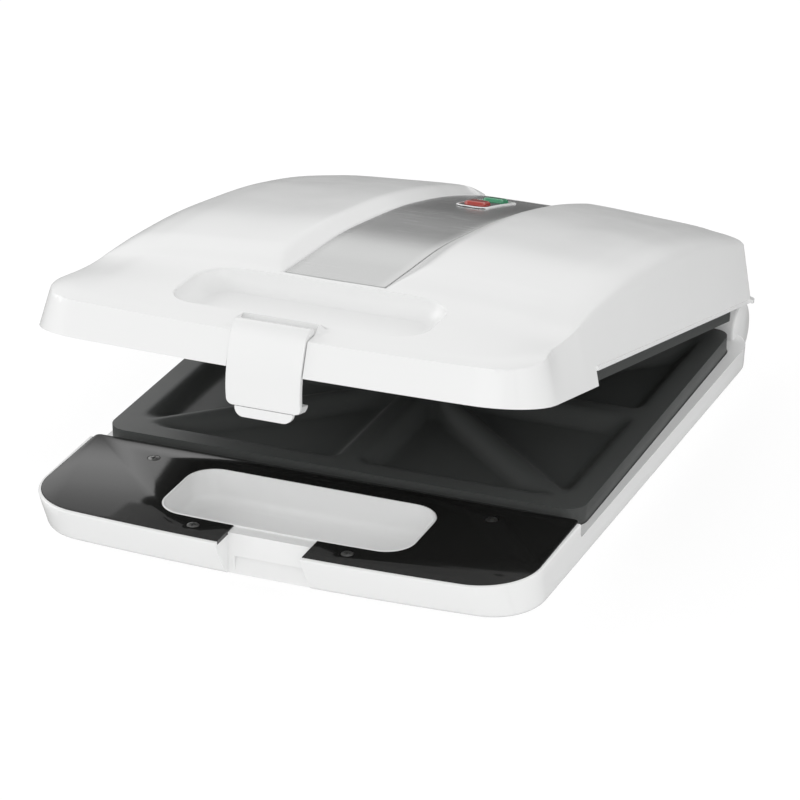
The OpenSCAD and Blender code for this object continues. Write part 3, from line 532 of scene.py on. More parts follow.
for part in frame["record"]["subparts"]:
    setMaterial(nodes[part["node"]], slotLook[part["material_slot"]])
print("materials made:", len(slotLook))

# the lid's heights, as (distance from the front, height over the deck) or (distance from the middle, drop)
lidShape = dict(
    crest=[(0, 19), (7.3, 20.2), (42, 28.2), (76.3, 36.2), (90, 41), (106.3, 45.3), (146.3, 51.8),
           (186.3, 55), (226.3, 57), (256.3, 56.9), (286.3, 55.8), (316.3, 53.5), (346.3, 50.4), (380, 46)],
    shoulder=[(0, 18.8), (20, 20.6), (48, 25.5), (86, 30.8), (147, 36), (200, 38), (257, 38.6),
              (318, 38.2), (380, 36.5)],
    crown=[(0, 0), (41, 0), (73, 1.7), (99, 3.4), (112, 5.2), (132, 7), (180, 8)],
    panel=[(60, 33.4), (76.3, 36.1), (106.3, 41), (146.3, 47.5), (186.3, 50.7), (226.3, 52.7),
           (256.3, 52.6), (286.3, 51.5), (316.3, 49.2), (346.3, 46.1), (380, 41.7)],
    creaseFront=2.3, creaseSide=8.5, rollFront=12.0, rollSide=16.0, frontBlend=(6, 56), crownBlend=(8, 80),
    shoulderUnder=0.6, shoulderBlend=1.0, rollPower=2.5, rollEase=0.4,
    bead=3.3, beadRise=(10.5, 14.8), beadFall=(16.2, 20.5), beadEnd=(19, 23),
    recessHalf=19.6, recessDepth=15.6, columns=190, rows=230)
channel = dict(width=54.0, start=76.3, end=346.0, panelThickness=1.0, bedPlay=0.1, sidePlay=0.25, endPlay=0.3,
               wallHeight=1.0, wallSlope=12.0, sideSlope=0.5, frontSlope=1.4, lead=12.0, softness=0.8)
bowl = dict(width=131.0, setback=25.0, depth=46.8, sink=10.0, radius=15.0, floorRadius=9.0, rim=1.2,
            endRun=11.0, frontRun=13.0, backRun=4.0)
lidHalf = lid["width"] / 2
frontTurn = lidHalf - lid["cornerRadius"]
turnU = lid["bow"] - math.sqrt((lid["bow"] - lid["cornerRadius"]) ** 2 - frontTurn ** 2)
bowEnd = lid["bow"] * frontTurn / (lid["bow"] - lid["cornerRadius"])


def lidFront(x):
    # distance of the lid's front edge behind its foremost point
    a = abs(x)
    if a <= bowEnd:
        return lid["bow"] - math.sqrt(lid["bow"] ** 2 - a * a)
    return turnU - math.sqrt(max(0, lid["cornerRadius"] ** 2 - (a - frontTurn) ** 2))


def lidBack(x):
    a, r = abs(x), lid["rearCorner"]
    if a <= lidHalf - r:
        return lidLength
    return lidLength - r + math.sqrt(max(0, r * r - (a - lidHalf + r) ** 2))


def lidInset(x, u):
    # distance in from the lid's outline
    a, r = abs(x), lid["rearCorner"]
    p, q, m, n = a - frontTurn, u - turnU, a - lidHalf + r, u - lidLength + r
    if p > 0 and q < 0:
        d = lid["cornerRadius"] - math.hypot(p, q)
    elif m > 0 and n > 0:
        d = r - math.hypot(m, n)
    else:
        d = min(lidHalf - a, lid["bow"] - math.hypot(x, u - lid["bow"]), lidLength - u)
    return max(0, d)


def panelHeight(u):
    return smoothCurve(u, lidShape["panel"])


def lidHeight(x, u):
    # a leaning edge up to the crease, a roll over the shoulder, then the crowned top
    s = lidShape
    d = lidInset(x, u)
    f = 1 - blendStep(u, *s["frontBlend"])
    crease = s["creaseSide"] * (1 - f) + s["creaseFront"] * f
    roll = s["rollSide"] * (1 - f) + s["rollFront"] * f
    top = smoothCurve(u, s["crest"]) - smoothCurve(abs(x), s["crown"]) * blendStep(u, *s["crownBlend"])
    shoulder = softMin(smoothCurve(u, s["shoulder"]), top - s["shoulderUnder"], s["shoulderBlend"])
    low, ease = lidZ - deckZ, s["rollEase"] + s["rollEase"] * f
    if d < crease:
        return low + (shoulder - low) * d / crease
    if d - crease < roll:
        return shoulder + (top - shoulder) * (1 - (1 - (d - crease) / roll) ** s["rollPower"]) ** ease
    return top


def skinHeight(x, u):
    # the lid's skin with the channel of the panel and the bead behind the latch
    s, c = lidShape, channel
    z = lidHeight(x, u)
    z += (s["bead"] * blendStep(u, *s["beadRise"]) * (1 - blendStep(u, *s["beadFall"]))
          * (1 - blendStep(abs(x), *s["beadEnd"])))
    if u > c["start"] - c["lead"]:
        floor = panelHeight(u) - (c["panelThickness"] + c["bedPlay"]) * (u < c["end"] + c["endPlay"])
        rise = max((abs(x) - c["width"] / 2 - c["sidePlay"]) * c["sideSlope"],
                   (c["start"] - c["endPlay"] - u) * c["frontSlope"])
        wall = c["wallHeight"] + rise if rise > 0 else max(0, c["wallHeight"] + rise * c["wallSlope"])
        z = softMin(z, floor + wall, c["softness"])
    return z


def spread(count, low, high, peaks):
    # stations from low to high, closer together near each peak of (weight, place, width)
    def dense(t):
        return sum((weight * math.exp(-((t - place) / width) ** 2) for weight, place, width in peaks), 1)

    fine = 2000
    total, sums = 0.0, [0.0]
    for i in range(fine):
        total += dense(abs(low + (high - low) * (i + 0.5) / fine))
        sums.append(total)
    result, j = [], 0
    for i in range(count + 1):
        target = total * i / count
        while j < fine and sums[j + 1] < target:
            j += 1
        part = (target - sums[j]) / max(sums[j + 1] - sums[j], 1e-9) if j < fine else 0
        result.append(low + (high - low) * (j + part) / fine)
    result[0], result[-1] = low, high
    return result


def buildLidSkin(name):
    s, c = lidShape, channel
    across = spread(s["columns"], -lidHalf, lidHalf,
                    [(3, lidHalf, 12), (2.2, c["width"] / 2 + 1.5, 4), (1.5, 60, 10)])
    along = spread(s["rows"], 0, lidLength,
                   [(4, 0, 7), (2.5, lidLength, 12), (1.6, bowl["setback"] + 3, 8),
                    (1.6, c["start"] - 3.3, 8), (1.5, c["end"], 4)])
    n, m = len(across), len(along)
    vertices, faces = [], []
    for i, x in enumerate(across):
        f, b = lidFront(x), lidBack(x)
        for j, v in enumerate(along):
            u = f + (b - f) * v / lidLength
            edge = i in (0, n - 1) or j in (0, m - 1)
            z = lidZ if edge else max(deckZ + skinHeight(x, u), lidZ + 0.02)
            vertices.append((x, lidY + u, z))
    for i in range(n - 1):
        for j in range(m - 1):
            faces.append((i * m + j, (i + 1) * m + j, (i + 1) * m + j + 1, i * m + j + 1))
    rim = ([(i, 0) for i in range(n)] + [(n - 1, j) for j in range(1, m)]
           + [(i, m - 1) for i in range(n - 2, -1, -1)] + [(0, j) for j in range(m - 2, 0, -1)])
    faces.append(tuple(reversed([i * m + j for i, j in rim])))
    return meshFrom(name, vertices, faces, 30)


def bowlRing(width, radius, front, back, height):
    # one level of the finger bowl, a rounded rectangle whose height is a function of its place
    loop = roundedRect(width, back - front, radius, 0, (front + back) / 2, 12)
    return [(x, lidY + u, deckZ + height(x, u)) for x, u in loop]


def fingerBowl(name):
    # cutter from the flat floor up the curved walls and out over the soft rim
    b = bowl
    width, radius, front, back = b["width"], b["radius"], b["setback"], b["setback"] + b["depth"]
    floorFront, floorBack = front + b["frontRun"], back - b["backRun"]
    middle, half = (floorFront + floorBack) / 2, (floorBack - floorFront) / 2

    def below(depth):
        return lambda x, u: smoothCurve(u, lidShape["crest"]) - depth

    def above(rise):
        return lambda x, u: lidHeight(x, u) + rise

    rings = [bowlRing((width - 2 * b["endRun"]) * k, b["floorRadius"] * k, middle - half * k,
                      middle + half * k, below(b["sink"])) for k in (0.02, 0.2, 0.4, 0.6, 0.8)]
    for k in range(15):
        a = math.pi / 2 * (1 - 0.8 * k / 14)
        c = 1 - math.cos(a)
        rings.append(bowlRing(width - 2 * b["endRun"] * c, radius - (radius - b["floorRadius"]) * c,
                              front + b["frontRun"] * c, back - b["backRun"] * c,
                              below(b["sink"] * math.sin(a))))
    rim = [(b["rim"] * (1 - math.cos(a)), b["rim"] * (math.sin(a) - 1))
           for a in [math.radians(80 * k / 7) for k in range(8)]]
    for out, rise in rim + [(b["rim"] * 2, 3)]:
        rings.append(bowlRing(width + 2 * out, radius + out, front - out, back + out, above(rise)))
    return loftRings(name, rings, 30)


hinge = dict(lugX=87.5, lugWidth=20.0, lugRadius=9.0, lugRoot=6.0, pinRadius=3.0, pinHalf=25.0,
             lidBore=15.0, play=0.06, gapHalf=11.0, gapFront=10.0, gapBelow=10.3)
clip = dict(width=38.0, hookWidth=35.0, tabWidth=30.0, tabHeight=5.2, tabRadius=4.8, barrelRadius=5.5,
            wall=3.0, drop=33.3, pinRadius=1.5, pinHalf=26.0, pinY=lidY + 8.5, pinZ=deckZ + 16.5, top=7.5,
            edge=0.5, footRound=3.0, footIn=5.2, tabBack=0.4,
            cover=[(-2, 6.7), (0, 7.5), (2.7, 7.2), (5, 5.8), (6.7, 3.3), (7.8, -0.3), (8.5, -5), (9, -10.5),
                   (9.1, -15.5), (8.9, -19.5), (8.1, -24.5), (6.8, -29), (5.2, -33.3)],
            back=[(3, -3), (4.6, 3)],
            hook=[(-4.4, 3.2), (6.5, 3.2), (6.5, 1.8), (4, 0.2), (-4.4, 0.2)])
lights = dict(middle=283.5, pitch=28.0, lensWidth=12.0, lensLength=13.6, lensRadius=3.4, lensHeight=2.6,
              lensDepth=8.0, lensRound=2.0, holeRadius=3.1, bezelWidth=18.0, bezelLength=54.0,
              bezelRadius=6.0, bezelHeight=0.9, bezelRound=0.6, bezelRim=0.8, bezelFloor=0.35,
              floorRound=0.3, holePlay=0.4, bezelPlay=0.3)
lampSpots = [lights["middle"] - lights["pitch"] / 2, lights["middle"] + lights["pitch"] / 2]
lidCutLow, lidCutHigh = 50, 120  # reach of the cutters through the lid's top


def lampHole(at, play):
    outline = roundedRect(lights["lensWidth"] + play, lights["lensLength"] + play, lights["holeRadius"],
                          0, lidY + at)
    return prism("lampHole", outline, lidCutLow, lidCutHigh)


def addLugs(piece):
    h, r = hinge, hinge["lugRadius"]
    under = [math.pi * (i / 24 - 1) for i in range(25)]
    loop = [(hingeY + r * math.cos(a), hingeZ + r * math.sin(a)) for a in under]
    loop += [(hingeY + h["lugRoot"], flangeZ + 1), (hingeY - h["lugRoot"], flangeZ + 1)]
    for side in (-1, 1):
        middle, half = side * h["lugX"], h["lugWidth"] / 2
        carve(piece, sideView("lug", loop, middle - half, middle + half), "UNION")


hollow = dict(width=242.0, corner=12.0, height=14.0, ends=14.0, shift=2.0, flange=2.0, flangeIn=1.6,
              lip=13.0, holeWidth=236.0, holeDepth=218.0, apronPlay=1.5, frontWall=9.0, frontIn=8.0,
              frontBack=6.0, frontCorner=25.5, frontInner=8.0, frontHeight=12.0, latchHalf=25.0,
              latchDepth=24.0)


def flangePlate(name, inset):
    outline = planOutline(lidHalf - inset, lidY, lidY + lidLength, lid["bow"], lid["cornerRadius"],
                          lid["rearCorner"])
    return prism(name, outline, flangeZ, flangeZ + hollow["flange"])


def buildLidShell(name):
    # the skin is cut hollow, then gets its flange, the latch recess, the hinge lugs and the bores
    s, h, apronY = lidShape, hollow, lidY + apronLength
    shell = buildLidSkin(name)
    carve(shell, fingerBowl("fingerBowl"))
    carve(shell, box("cutBelow", (-wide, apronY, 0), (wide, lidY + lidLength + 30, flangeZ)))
    depth = lidLength - apronLength - h["ends"]
    inside = roundedRect(h["width"], depth, h["corner"], 0, apronY + depth / 2 + h["shift"])
    carve(shell, prism("cutInside", inside, 0, flangeZ + h["height"]))
    flange, rearLip = flangePlate("flange", h["flangeIn"]), flangePlate("rearLip", 0)
    carve(rearLip, box("lipFront", (-wide, lidY - 5, 0), (wide, lidY + lidLength - h["lip"], tall)))
    carve(flange, rearLip, "UNION")
    hole = roundedRect(h["holeWidth"], h["holeDepth"], h["corner"], 0, plateY)
    carve(flange, prism("flangeHole", hole, 0, tall))
    carve(flange, box("flangeFront", (-wide, lidY - 5, 0), (wide, apronY + h["apronPlay"], tall)))
    carve(shell, flange, "UNION")
    outline = planOutline(lidHalf - h["frontWall"], lidY + h["frontIn"], apronY - h["frontBack"], lid["bow"],
                          h["frontCorner"], h["frontInner"])
    space = prism("frontSpace", outline, lidZ - 1, lidZ + h["frontHeight"])
    carve(space, box("keep", (-h["latchHalf"], lidY, 0), (h["latchHalf"], lidY + h["latchDepth"], tall)))
    carve(shell, space)
    carve(shell, box("recess", (-s["recessHalf"], lidY - 10, 0),
                     (s["recessHalf"], lidY + s["recessDepth"], tall)))
    addLugs(shell)
    for side in (-1, 1):
        middle = side * hinge["lugX"]
        carve(shell, cylinderAlong("pinHole", "x", (hingeY, hingeZ), hinge["pinRadius"] + hinge["play"],
                                   middle - hinge["lidBore"], middle + hinge["lidBore"]))
    carve(shell, cylinderAlong("latchHole", "x", (clip["pinY"], clip["pinZ"]), clip["pinRadius"],
                               -clip["pinHalf"], clip["pinHalf"], 24))
    for at in lampSpots:
        carve(shell, lampHole(at, lights["holePlay"]))
    return shell


lidShell = buildLidShell("lidShell")
shade(lidShell, 32)
openLid(lidShell)
setMaterial(lidShell, whiteShell)
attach(lidShell, "lid")
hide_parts("lid_shell")
print("lid shell:", len(lidShell.data.polygons), "faces")

deckShape = dict(sideGap=5.5, rim=2.0, play=0.15, depth=88.0, thickness=2.0, frontRadius=31.0,
                 rearRadius=3.0, edge=[(-2, 0), (-0.5, 0), (-0.15, 0.12), (0, 0.5)], gripPlay=1.35,
                 notchDepth=23.0, screwSpots=[(90.3, 74.3), (40.3, 14.0)], headSeat=3.35, headSink=0.8)
baseShape = dict(cornerRadius=33.0, footTuck=6.0, rearRadius=22.0, rearGap=2.0, frontLean=12.0,
                 sideLean=1.0, rearLean=2.0, taper=0.034, bottomRound=3.0, rimRound=1.0, rimDrop=0.2,
                 rimBand=2.0, ledgeDrop=8.0, ledgeFrom=86.0, ledgeRound=3.0, floor=2.3, platePlay=0.8,
                 plateCorner=10.0, plateLedge=7.0, insideCorner=12.0, barrelHalf=126.0,
                 barrelEnd=[(0, 1.2), (0.3, 0.5), (0.9, 0.1), (1.6, 0)], deckSeatPast=4.0,
                 deckLedge=6.5, deckFloorFront=18.0, deckFloorBack=83.0, deckFloorCorner=33.0,
                 deckFloorInner=8.0, wellRadius=3.6, wellHeight=5.5,
                 footX=108.0, footAlong=(44, 319), footHole=3.1, footHoleTop=4.7,
                 glandRadius=5.5, glandFrom=6.3, cordRadius=3.4, cordFrom=-44.0)
grip = dict(width=130.0, depth=52.6, setback=22.0, sink=17.0, corner=14.0, wall=2.4, wallRound=6.0,
            wallFrom=0.5, lip=1.2,
            lipRise=[(-3, 1.2), (-0.2, 1.2), (0.05, 1.05), (0.2, 0.7), (0.2, 0.5)],
            edge=[(-0.3, -0.1), (0.05, 0.1), (0.3, 0.6), (9, 0.6)])
notch = dict(half=22.0, depth=14.0, wall=3.0, wallFront=3.0, wallBack=21.4, sillPlay=0.15, sillFront=12.0,
             sillDrop=0.5, catchRise=4.3, catchDepth=3.0, catchHeight=8.5, catchPlay=1.0)


def tubLoop(z, inset):
    # the tub's outline at one height, smaller toward the foot and tapered toward the front
    s = baseShape
    t = (z - housing["footHeight"]) / (housing["shellHeight"] - s["rimBand"])
    up = min(max(t, 0), 1)
    lean, rear = s["frontLean"] * (1 - up), s["rearLean"] * (1 - up)
    loop = planOutline(housing["width"] / 2 - s["sideLean"] * (1 - up) - inset, frontY + lean + inset,
                       hingeY - s["rearGap"] - rear - inset, housing["bow"],
                       s["cornerRadius"] - s["footTuck"] * (1 - up) - inset,
                       s["rearRadius"] - rear - inset, 30)
    return [(x * (1 - s["taper"] * (hingeY - y) / (hingeY - frontY)), y, z) for x, y in loop]


def gripLoop(extra):
    front, corner = frontY + grip["setback"] - extra, grip["corner"] + extra
    return planOutline(grip["width"] / 2 + extra, front, front + grip["depth"] + 2 * extra,
                       housing["bow"], corner, corner)


def gripRings(name, profile, smoothAngle=35):
    # a loft of the grip's outline through (height over the deck, extra width)
    return loftRings(name, [[(x, y, deckZ + z) for x, y in gripLoop(e)] for z, e in profile], smoothAngle)


def deckLoop(inset, play, back):
    s = deckShape
    return planOutline(housing["width"] / 2 - s["sideGap"] - play - inset, frontY + s["rim"] + play + inset,
                       back - inset, housing["bow"], s["frontRadius"] - inset, s["rearRadius"] - inset, 30)


def roundedTub(name):
    s, foot, top = baseShape, housing["footHeight"], deckZ - baseShape["rimDrop"]
    low, high = s["bottomRound"], s["rimRound"]
    rings = [tubLoop(foot + low * (1 - math.cos(a)), low * (1 - math.sin(a))) for a in quarterTurn(5)]
    rings += [tubLoop(foot + low + (top - high - foot - low) * t, 0) for t in (0.25, 0.5, 0.75)]
    rings += [tubLoop(top - high * (1 - math.sin(a)), high * (1 - math.cos(a))) for a in quarterTurn(5)]
    return loftRings(name, rings, 30)


def ledgeCutter(name):
    # everything above the low rear part, with a rounded step up to the deck
    y, z, r = frontY + baseShape["ledgeFrom"], deckZ - baseShape["ledgeDrop"], baseShape["ledgeRound"]
    profile = [(2 * wide, z), (2 * wide, tall), (y, tall)]
    profile += [(y + r * (1 - math.cos(a)), z + r * (1 - math.sin(a))) for a in quarterTurn(6)]
    return sideView(name, profile, -wide, wide)


def hingeBarrel(name):
    half, ends = baseShape["barrelHalf"], baseShape["barrelEnd"]
    turns = [2 * math.pi * i / 72 for i in range(72)]
    rings = []
    for x, less in [(e - half, r) for e, r in ends] + [(half - e, r) for e, r in reversed(ends)]:
        radius = housing["barrelRadius"] - less
        rings.append([(x, hingeY + radius * math.cos(a), hingeZ + radius * math.sin(a)) for a in turns])
    barrel = loftRings(name, rings)
    return carve(barrel, box("belowShell", (-wide, 100, -20), (wide, 260, housing["footHeight"])))


def catchCutter(name):
    y, top = frontY + notch["depth"], clip["pinZ"] - clip["drop"] + notch["catchRise"]
    low, half = top - notch["catchHeight"], clip["hookWidth"] / 2 + notch["catchPlay"]
    return sideView(name, [(y - 1, top), (y + notch["catchDepth"], top), (y, low), (y - 1, low)], -half, half)


def buildBaseShell(name):
    # the tub is cut out for the plate, the deck, the grip, the latch and the hinge
    s, n, h = baseShape, notch, hinge
    foot, underDeck = housing["footHeight"], deckZ - deckShape["thickness"]
    floor = foot + s["floor"]
    shell = roundedTub(name)
    carve(shell, ledgeCutter("ledgeCut"))
    carve(shell, hingeBarrel("barrel"), "UNION")
    width, depth = plate["width"] + s["platePlay"], plate["depth"] + s["platePlay"]
    seat = roundedRect(width, depth, s["plateCorner"], 0, plateY)
    carve(shell, prism("plateSeat", seat, plateZ - plate["lowerSkirt"], tall))
    width, depth = plate["width"] - 2 * s["plateLedge"], plate["depth"] - 2 * s["plateLedge"]
    inside = roundedRect(width, depth, s["insideCorner"], 0, plateY)
    carve(shell, prism("inside", inside, floor, tall))
    seat = deckLoop(0, 0, frontY + deckShape["depth"] + s["deckSeatPast"])
    carve(shell, prism("deckSeat", seat, underDeck, tall))
    outline = planOutline(housing["width"] / 2 - deckShape["sideGap"] - s["deckLedge"],
                          frontY + s["deckFloorFront"], frontY + s["deckFloorBack"], housing["bow"],
                          s["deckFloorCorner"], s["deckFloorInner"])
    carve(shell, prism("underDeck", outline, floor, tall))
    carve(shell, prism("gripWall", gripLoop(grip["wall"]), foot + grip["wallFrom"], underDeck), "UNION")
    carve(shell, gripRings("lipRing", grip["lipRise"]), "UNION")
    walls = box("notchWalls", (-n["half"] - n["wall"], frontY + n["wallFront"], foot),
                (n["half"] + n["wall"], frontY + n["wallBack"], underDeck))
    half = n["half"] - n["sillPlay"]
    sill = box("sill", (-half, frontY + n["sillFront"], foot),
               (half, frontY + n["wallBack"], deckZ - n["sillDrop"]))
    for piece in (walls, sill):
        carve(piece, roundedTub("tubLimit"), "INTERSECT")
        carve(shell, piece, "UNION")
    r = grip["wallRound"]
    sides = [(r * (1 - math.cos(a)) - grip["sink"], -grip["lip"] - r * (1 - math.sin(a)))
             for a in quarterTurn(8)]
    carve(shell, gripRings("gripBowl", sides + grip["edge"], 30))
    carve(shell, box("latchNotch", (-n["half"], frontY - 20, 0), (n["half"], frontY + n["depth"], tall)))
    carve(shell, catchCutter("catchPocket"))
    for side in (-1, 1):
        middle = side * h["lugX"]
        carve(shell, box("lugGap", (middle - h["gapHalf"], hingeY - h["gapFront"], hingeZ - h["gapBelow"]),
                         (middle + h["gapHalf"], hingeY + 40, hingeZ + 50)))
        carve(shell, cylinderAlong("pinHole", "x", (hingeY, hingeZ), h["pinRadius"],
                                   middle - h["pinHalf"], middle + h["pinHalf"]))
        for spot in [(x, y) for x, y in plateScrews if x * side > 0]:
            carve(shell, cylinderAlong("screwWell", "z", spot, s["wellRadius"], 0, s["wellHeight"], 24))
        for spot in [(side * s["footX"], frontY + along) for along in s["footAlong"]]:
            carve(shell, cylinderAlong("footHole", "z", spot, s["footHole"], 0, s["footHoleTop"], 24))
    outside = hingeY + 30
    carve(shell, cylinderAlong("cordHole", "y", (0, hingeZ), s["glandRadius"], hingeY + s["glandFrom"],
                               outside, 40))
    carve(shell, cylinderAlong("cordWay", "y", (0, hingeZ), s["cordRadius"], hingeY + s["cordFrom"],
                               outside, 32))
    return shell


def buildDeckPlate(name):
    s = deckShape
    back = frontY + s["rim"] + s["depth"]
    deck = loftRings(name, [[(x, y, deckZ + z) for x, y in deckLoop(e, s["play"], back)]
                            for z, e in s["edge"]], 30)
    carve(deck, prism("deckHole", gripLoop(s["gripPlay"]), 0, tall))
    carve(deck, box("deckNotch", (-notch["half"], frontY - 5, 0),
                    (notch["half"], frontY + s["notchDepth"], tall)))
    for side in (-1, 1):
        for x, along in s["screwSpots"]:
            carve(deck, cylinderAlong("headSeat", "z", (side * x, frontY + along), s["headSeat"],
                                      deckZ - s["headSink"], deckZ + 3, 32))
    return deck


baseShell = buildBaseShell("baseShell")
shade(baseShell, 32)
setMaterial(baseShell, whiteShell)
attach(baseShell, "base")
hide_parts("base_shell")
print("base shell:", len(baseShell.data.polygons), "faces")

deckPlate = buildDeckPlate("deckPlate")
shade(deckPlate, 30)
setMaterial(deckPlate, deckBlack)
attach(deckPlate, "base")
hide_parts("deck_plate")
print("deck plate done")


def latchCover(name):
    # curved cover with its barrel, rounded foot, finger tab and hook
    c = clip
    y, z = c["pinY"], c["pinZ"]
    front = spline([(y - a, z + b) for a, b in c["cover"]], 5)
    back = spline([(y - a + c["wall"], z + b) for a, b in reversed(c["cover"][6:])], 5)
    side = front + back + [(y + a, z + b) for a, b in c["back"]]
    half, low, high, foot = c["width"] / 2, z - c["drop"], z + c["top"] + 5, c["footRound"]
    cover = sideView(name, side, -half, half)
    carve(cover, cylinderAlong("barrel", "x", (y, z), c["barrelRadius"], -half, half, 64), "UNION")
    turns = [math.pi * (1 + i / 16) for i in range(9)]
    corners = [(foot - half + foot * math.cos(a), low + foot + foot * math.sin(a)) for a in turns]
    outline = corners + [(-x, v) for x, v in reversed(corners)] + [(half, high), (-half, high)]
    carve(cover, frontView("outline", outline, y - 30, y + 30), "INTERSECT")
    tabLoop = roundedRect(c["tabWidth"], 2 * c["tabHeight"] + 2, c["tabRadius"])
    tab = [(x, low + 1 + v) for x, v in tabLoop if v <= 0]
    carve(cover, frontView("tab", tab, y - c["footIn"] + c["tabBack"], y - c["footIn"] + c["wall"]), "UNION")
    hook = [(y + a, low + b) for a, b in c["hook"]]
    carve(cover, sideView("hook", hook, -c["hookWidth"] / 2, c["hookWidth"] / 2), "UNION")
    soften(cover, c["edge"])
    return carve(cover, cylinderAlong("pinHole", "x", (y, z), c["pinRadius"] + hinge["play"], -30, 30, 32))


latchClip = latchCover("latchClip")
shade(latchClip, 32)
openLid(latchClip)
setMaterial(latchClip, whiteClip)
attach(latchClip, "latch")
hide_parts("latch_clip")
print("latch clip:", len(latchClip.data.polygons), "faces")

cooking = dict(pocketDepth=8.0, web=6.0, crimp=10.0, slope=11.0, pocketInset=1.3, cornerSoftness=8.0,
               thickness=3.0, floorThickness=2.5, corner=10.0, skirtWall=2.5, skirtPlay=0.1,
               bossRadius=3.4, bossHole=1.65, bossRoof=1.8, straight=0.35, cells=150)


def edgeDistance(x, y, corners):
    # distance to the nearest side of an anticlockwise triangle, positive inside, softened in its corners
    nearest = None
    for (ax, ay), (bx, by) in zip(corners, corners[1:] + corners[:1]):
        d = ((bx - ax) * (y - ay) - (by - ay) * (x - ax)) / math.hypot(bx - ax, by - ay)
        nearest = d if nearest is None else softMin(nearest, d, cooking["cornerSoftness"])
    return nearest


def pocketShare(x, y):
    # 0 on the ribs and 1 on the floor of the eight half pockets
    c = cooking
    near, farX, farY = c["web"] / 2, plate["width"] / 2 - c["crimp"], plate["depth"] / 2 - c["crimp"]
    a, b = abs(x), abs(y)
    d = max(edgeDistance(a, b, [(near, near), (farX, near), (farX, farY)]),
            edgeDistance(a, b, [(near, near), (farX, farY), (near, farY)]))
    s = min(max((d - c["pocketInset"]) / (c["slope"] - c["pocketInset"]), 0), 1)
    return c["straight"] * s + (1 - c["straight"]) * blendStep(s, 0, 1)


def cookingPlate(name, skirt, level, upsideDown):
    c, w, d = cooking, plate["width"] / 2, plate["depth"] / 2
    across = spread(c["cells"], -w, w, [(1, w, 6)])
    along = spread(c["cells"], -d, d, [(2, d, 6)])
    n = c["cells"] + 1
    bulge = c["pocketDepth"] + c["floorThickness"] - c["thickness"]
    top, under = [], []
    for x0 in across:
        for y in along:
            over = max(abs(y) - d + c["corner"], 0)
            x = x0 * (w - c["corner"] + math.sqrt(max(c["corner"] ** 2 - over ** 2, 0))) / w
            share = pocketShare(x, y)
            top.append((x, y, -c["pocketDepth"] * share))
            under.append((x, y, -c["thickness"] - bulge * share))
    faces = []
    for i in range(n - 1):
        for j in range(n - 1):
            a, b, e, f = i * n + j, (i + 1) * n + j, (i + 1) * n + j + 1, i * n + j + 1
            faces += [(a, b, e, f), (a + n * n, f + n * n, e + n * n, b + n * n)]
    rim = ([i * n for i in range(n)] + [(n - 1) * n + j for j in range(1, n)]
           + [i * n + n - 1 for i in range(n - 2, -1, -1)] + list(range(n - 2, 0, -1)))
    for a, b in zip(rim, rim[1:] + rim[:1]):
        faces.append((a, a + n * n, b + n * n, b))
    piece = meshFrom(name, top + under, faces, 30)
    play, wall = c["skirtPlay"], c["skirtWall"]
    skirtRing = prism("skirt", roundedRect(2 * w - play, 2 * d - play, c["corner"]), -skirt, -1)
    inner = roundedRect(2 * (w - wall), 2 * (d - wall), c["corner"] - wall)
    carve(skirtRing, prism("skirtInside", inner, -skirt - 1, 0))
    carve(piece, skirtRing, "UNION")
    for x, y in plateScrews:
        spot = (x, y - plateY)
        carve(piece, cylinderAlong("boss", "z", spot, c["bossRadius"], -skirt, -1, 24), "UNION")
        carve(piece, cylinderAlong("bossHole", "z", spot, c["bossHole"], -skirt - 1, -c["bossRoof"], 24))
    for vertex in piece.data.vertices:
        x, y, z = vertex.co
        vertex.co = (x, y + plateY * mm, level * mm + (-z if upsideDown else z))
    if upsideDown:
        piece.data.flip_normals()
    shade(piece, 35)
    setMaterial(piece, plateCoating)
    return piece


lowerPlate = cookingPlate("lowerPlate", plate["lowerSkirt"], plateZ, False)
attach(lowerPlate, "base")
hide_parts("lower_cooking_plate")
upperPlate = openLid(cookingPlate("upperPlate", plate["upperSkirt"], lidZ, True))
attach(upperPlate, "lid")
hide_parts("upper_cooking_plate")
print("cooking plates:", len(lowerPlate.data.polygons), "faces each")

screw = dict(headRadius=3.0, shankRadius=1.5, slotLength=3.8, slotWidth=0.8, slotDepth=0.5)
# head height, dome and shank length of each kind
screwKinds = dict(deck=(0.75, 0.3, 10), lowerPlate=(1.7, 0.3, 16.4), upperPlate=(1.7, 0.3, 6),
                  cover=(0.7, 0.2, 9))
coverScrew = dict(fromSide=32.5, front=30.0, fromEnd=11.9)


def buildScrewForm():
    # a domed head with a cross recess on a plain shank
    form = Form("screwForm", "headRadius", "headHeight", "dome", "shankRadius", "shankLength",
                "slotLength", "slotWidth", "slotDepth", "turn")
    g = form.given
    head = form.cylinder(g("headRadius"), g("headHeight"), 40, 4, 5)
    head = form.moved(head, z=g("headHeight") * 0.5)
    x, y, z = form.place()
    reach = (x * x + y * y) / (g("headRadius") * g("headRadius"))
    high = z / g("headHeight")
    lift = form.node("ShaderNodeCombineXYZ", {}, [0.0, 0.0, (1.0 - reach) * g("dome") * high * high])
    head = form.node("GeometryNodeSetPosition", {}, {"Geometry": head, "Offset": lift})
    for first, second in (("slotLength", "slotWidth"), ("slotWidth", "slotLength")):
        bar = form.node("GeometryNodeMeshCube", {}, {"Size": form.node(
            "ShaderNodeCombineXYZ", {}, [g(first), g(second), g("slotDepth") * 2.0 + g("dome")])})
        head = form.joined("DIFFERENCE", head, form.moved(bar, z=g("headHeight") + g("dome") * 0.5))
    sink = 0.3 * mm  # the shank reaches this far into the head
    shank = form.moved(form.cylinder(g("shankRadius"), g("shankLength") + sink, 24),
                       z=sink / 2 - g("shankLength") * 0.5)
    form.finish(form.joined("UNION", head, shank), g("turn"))
    return form


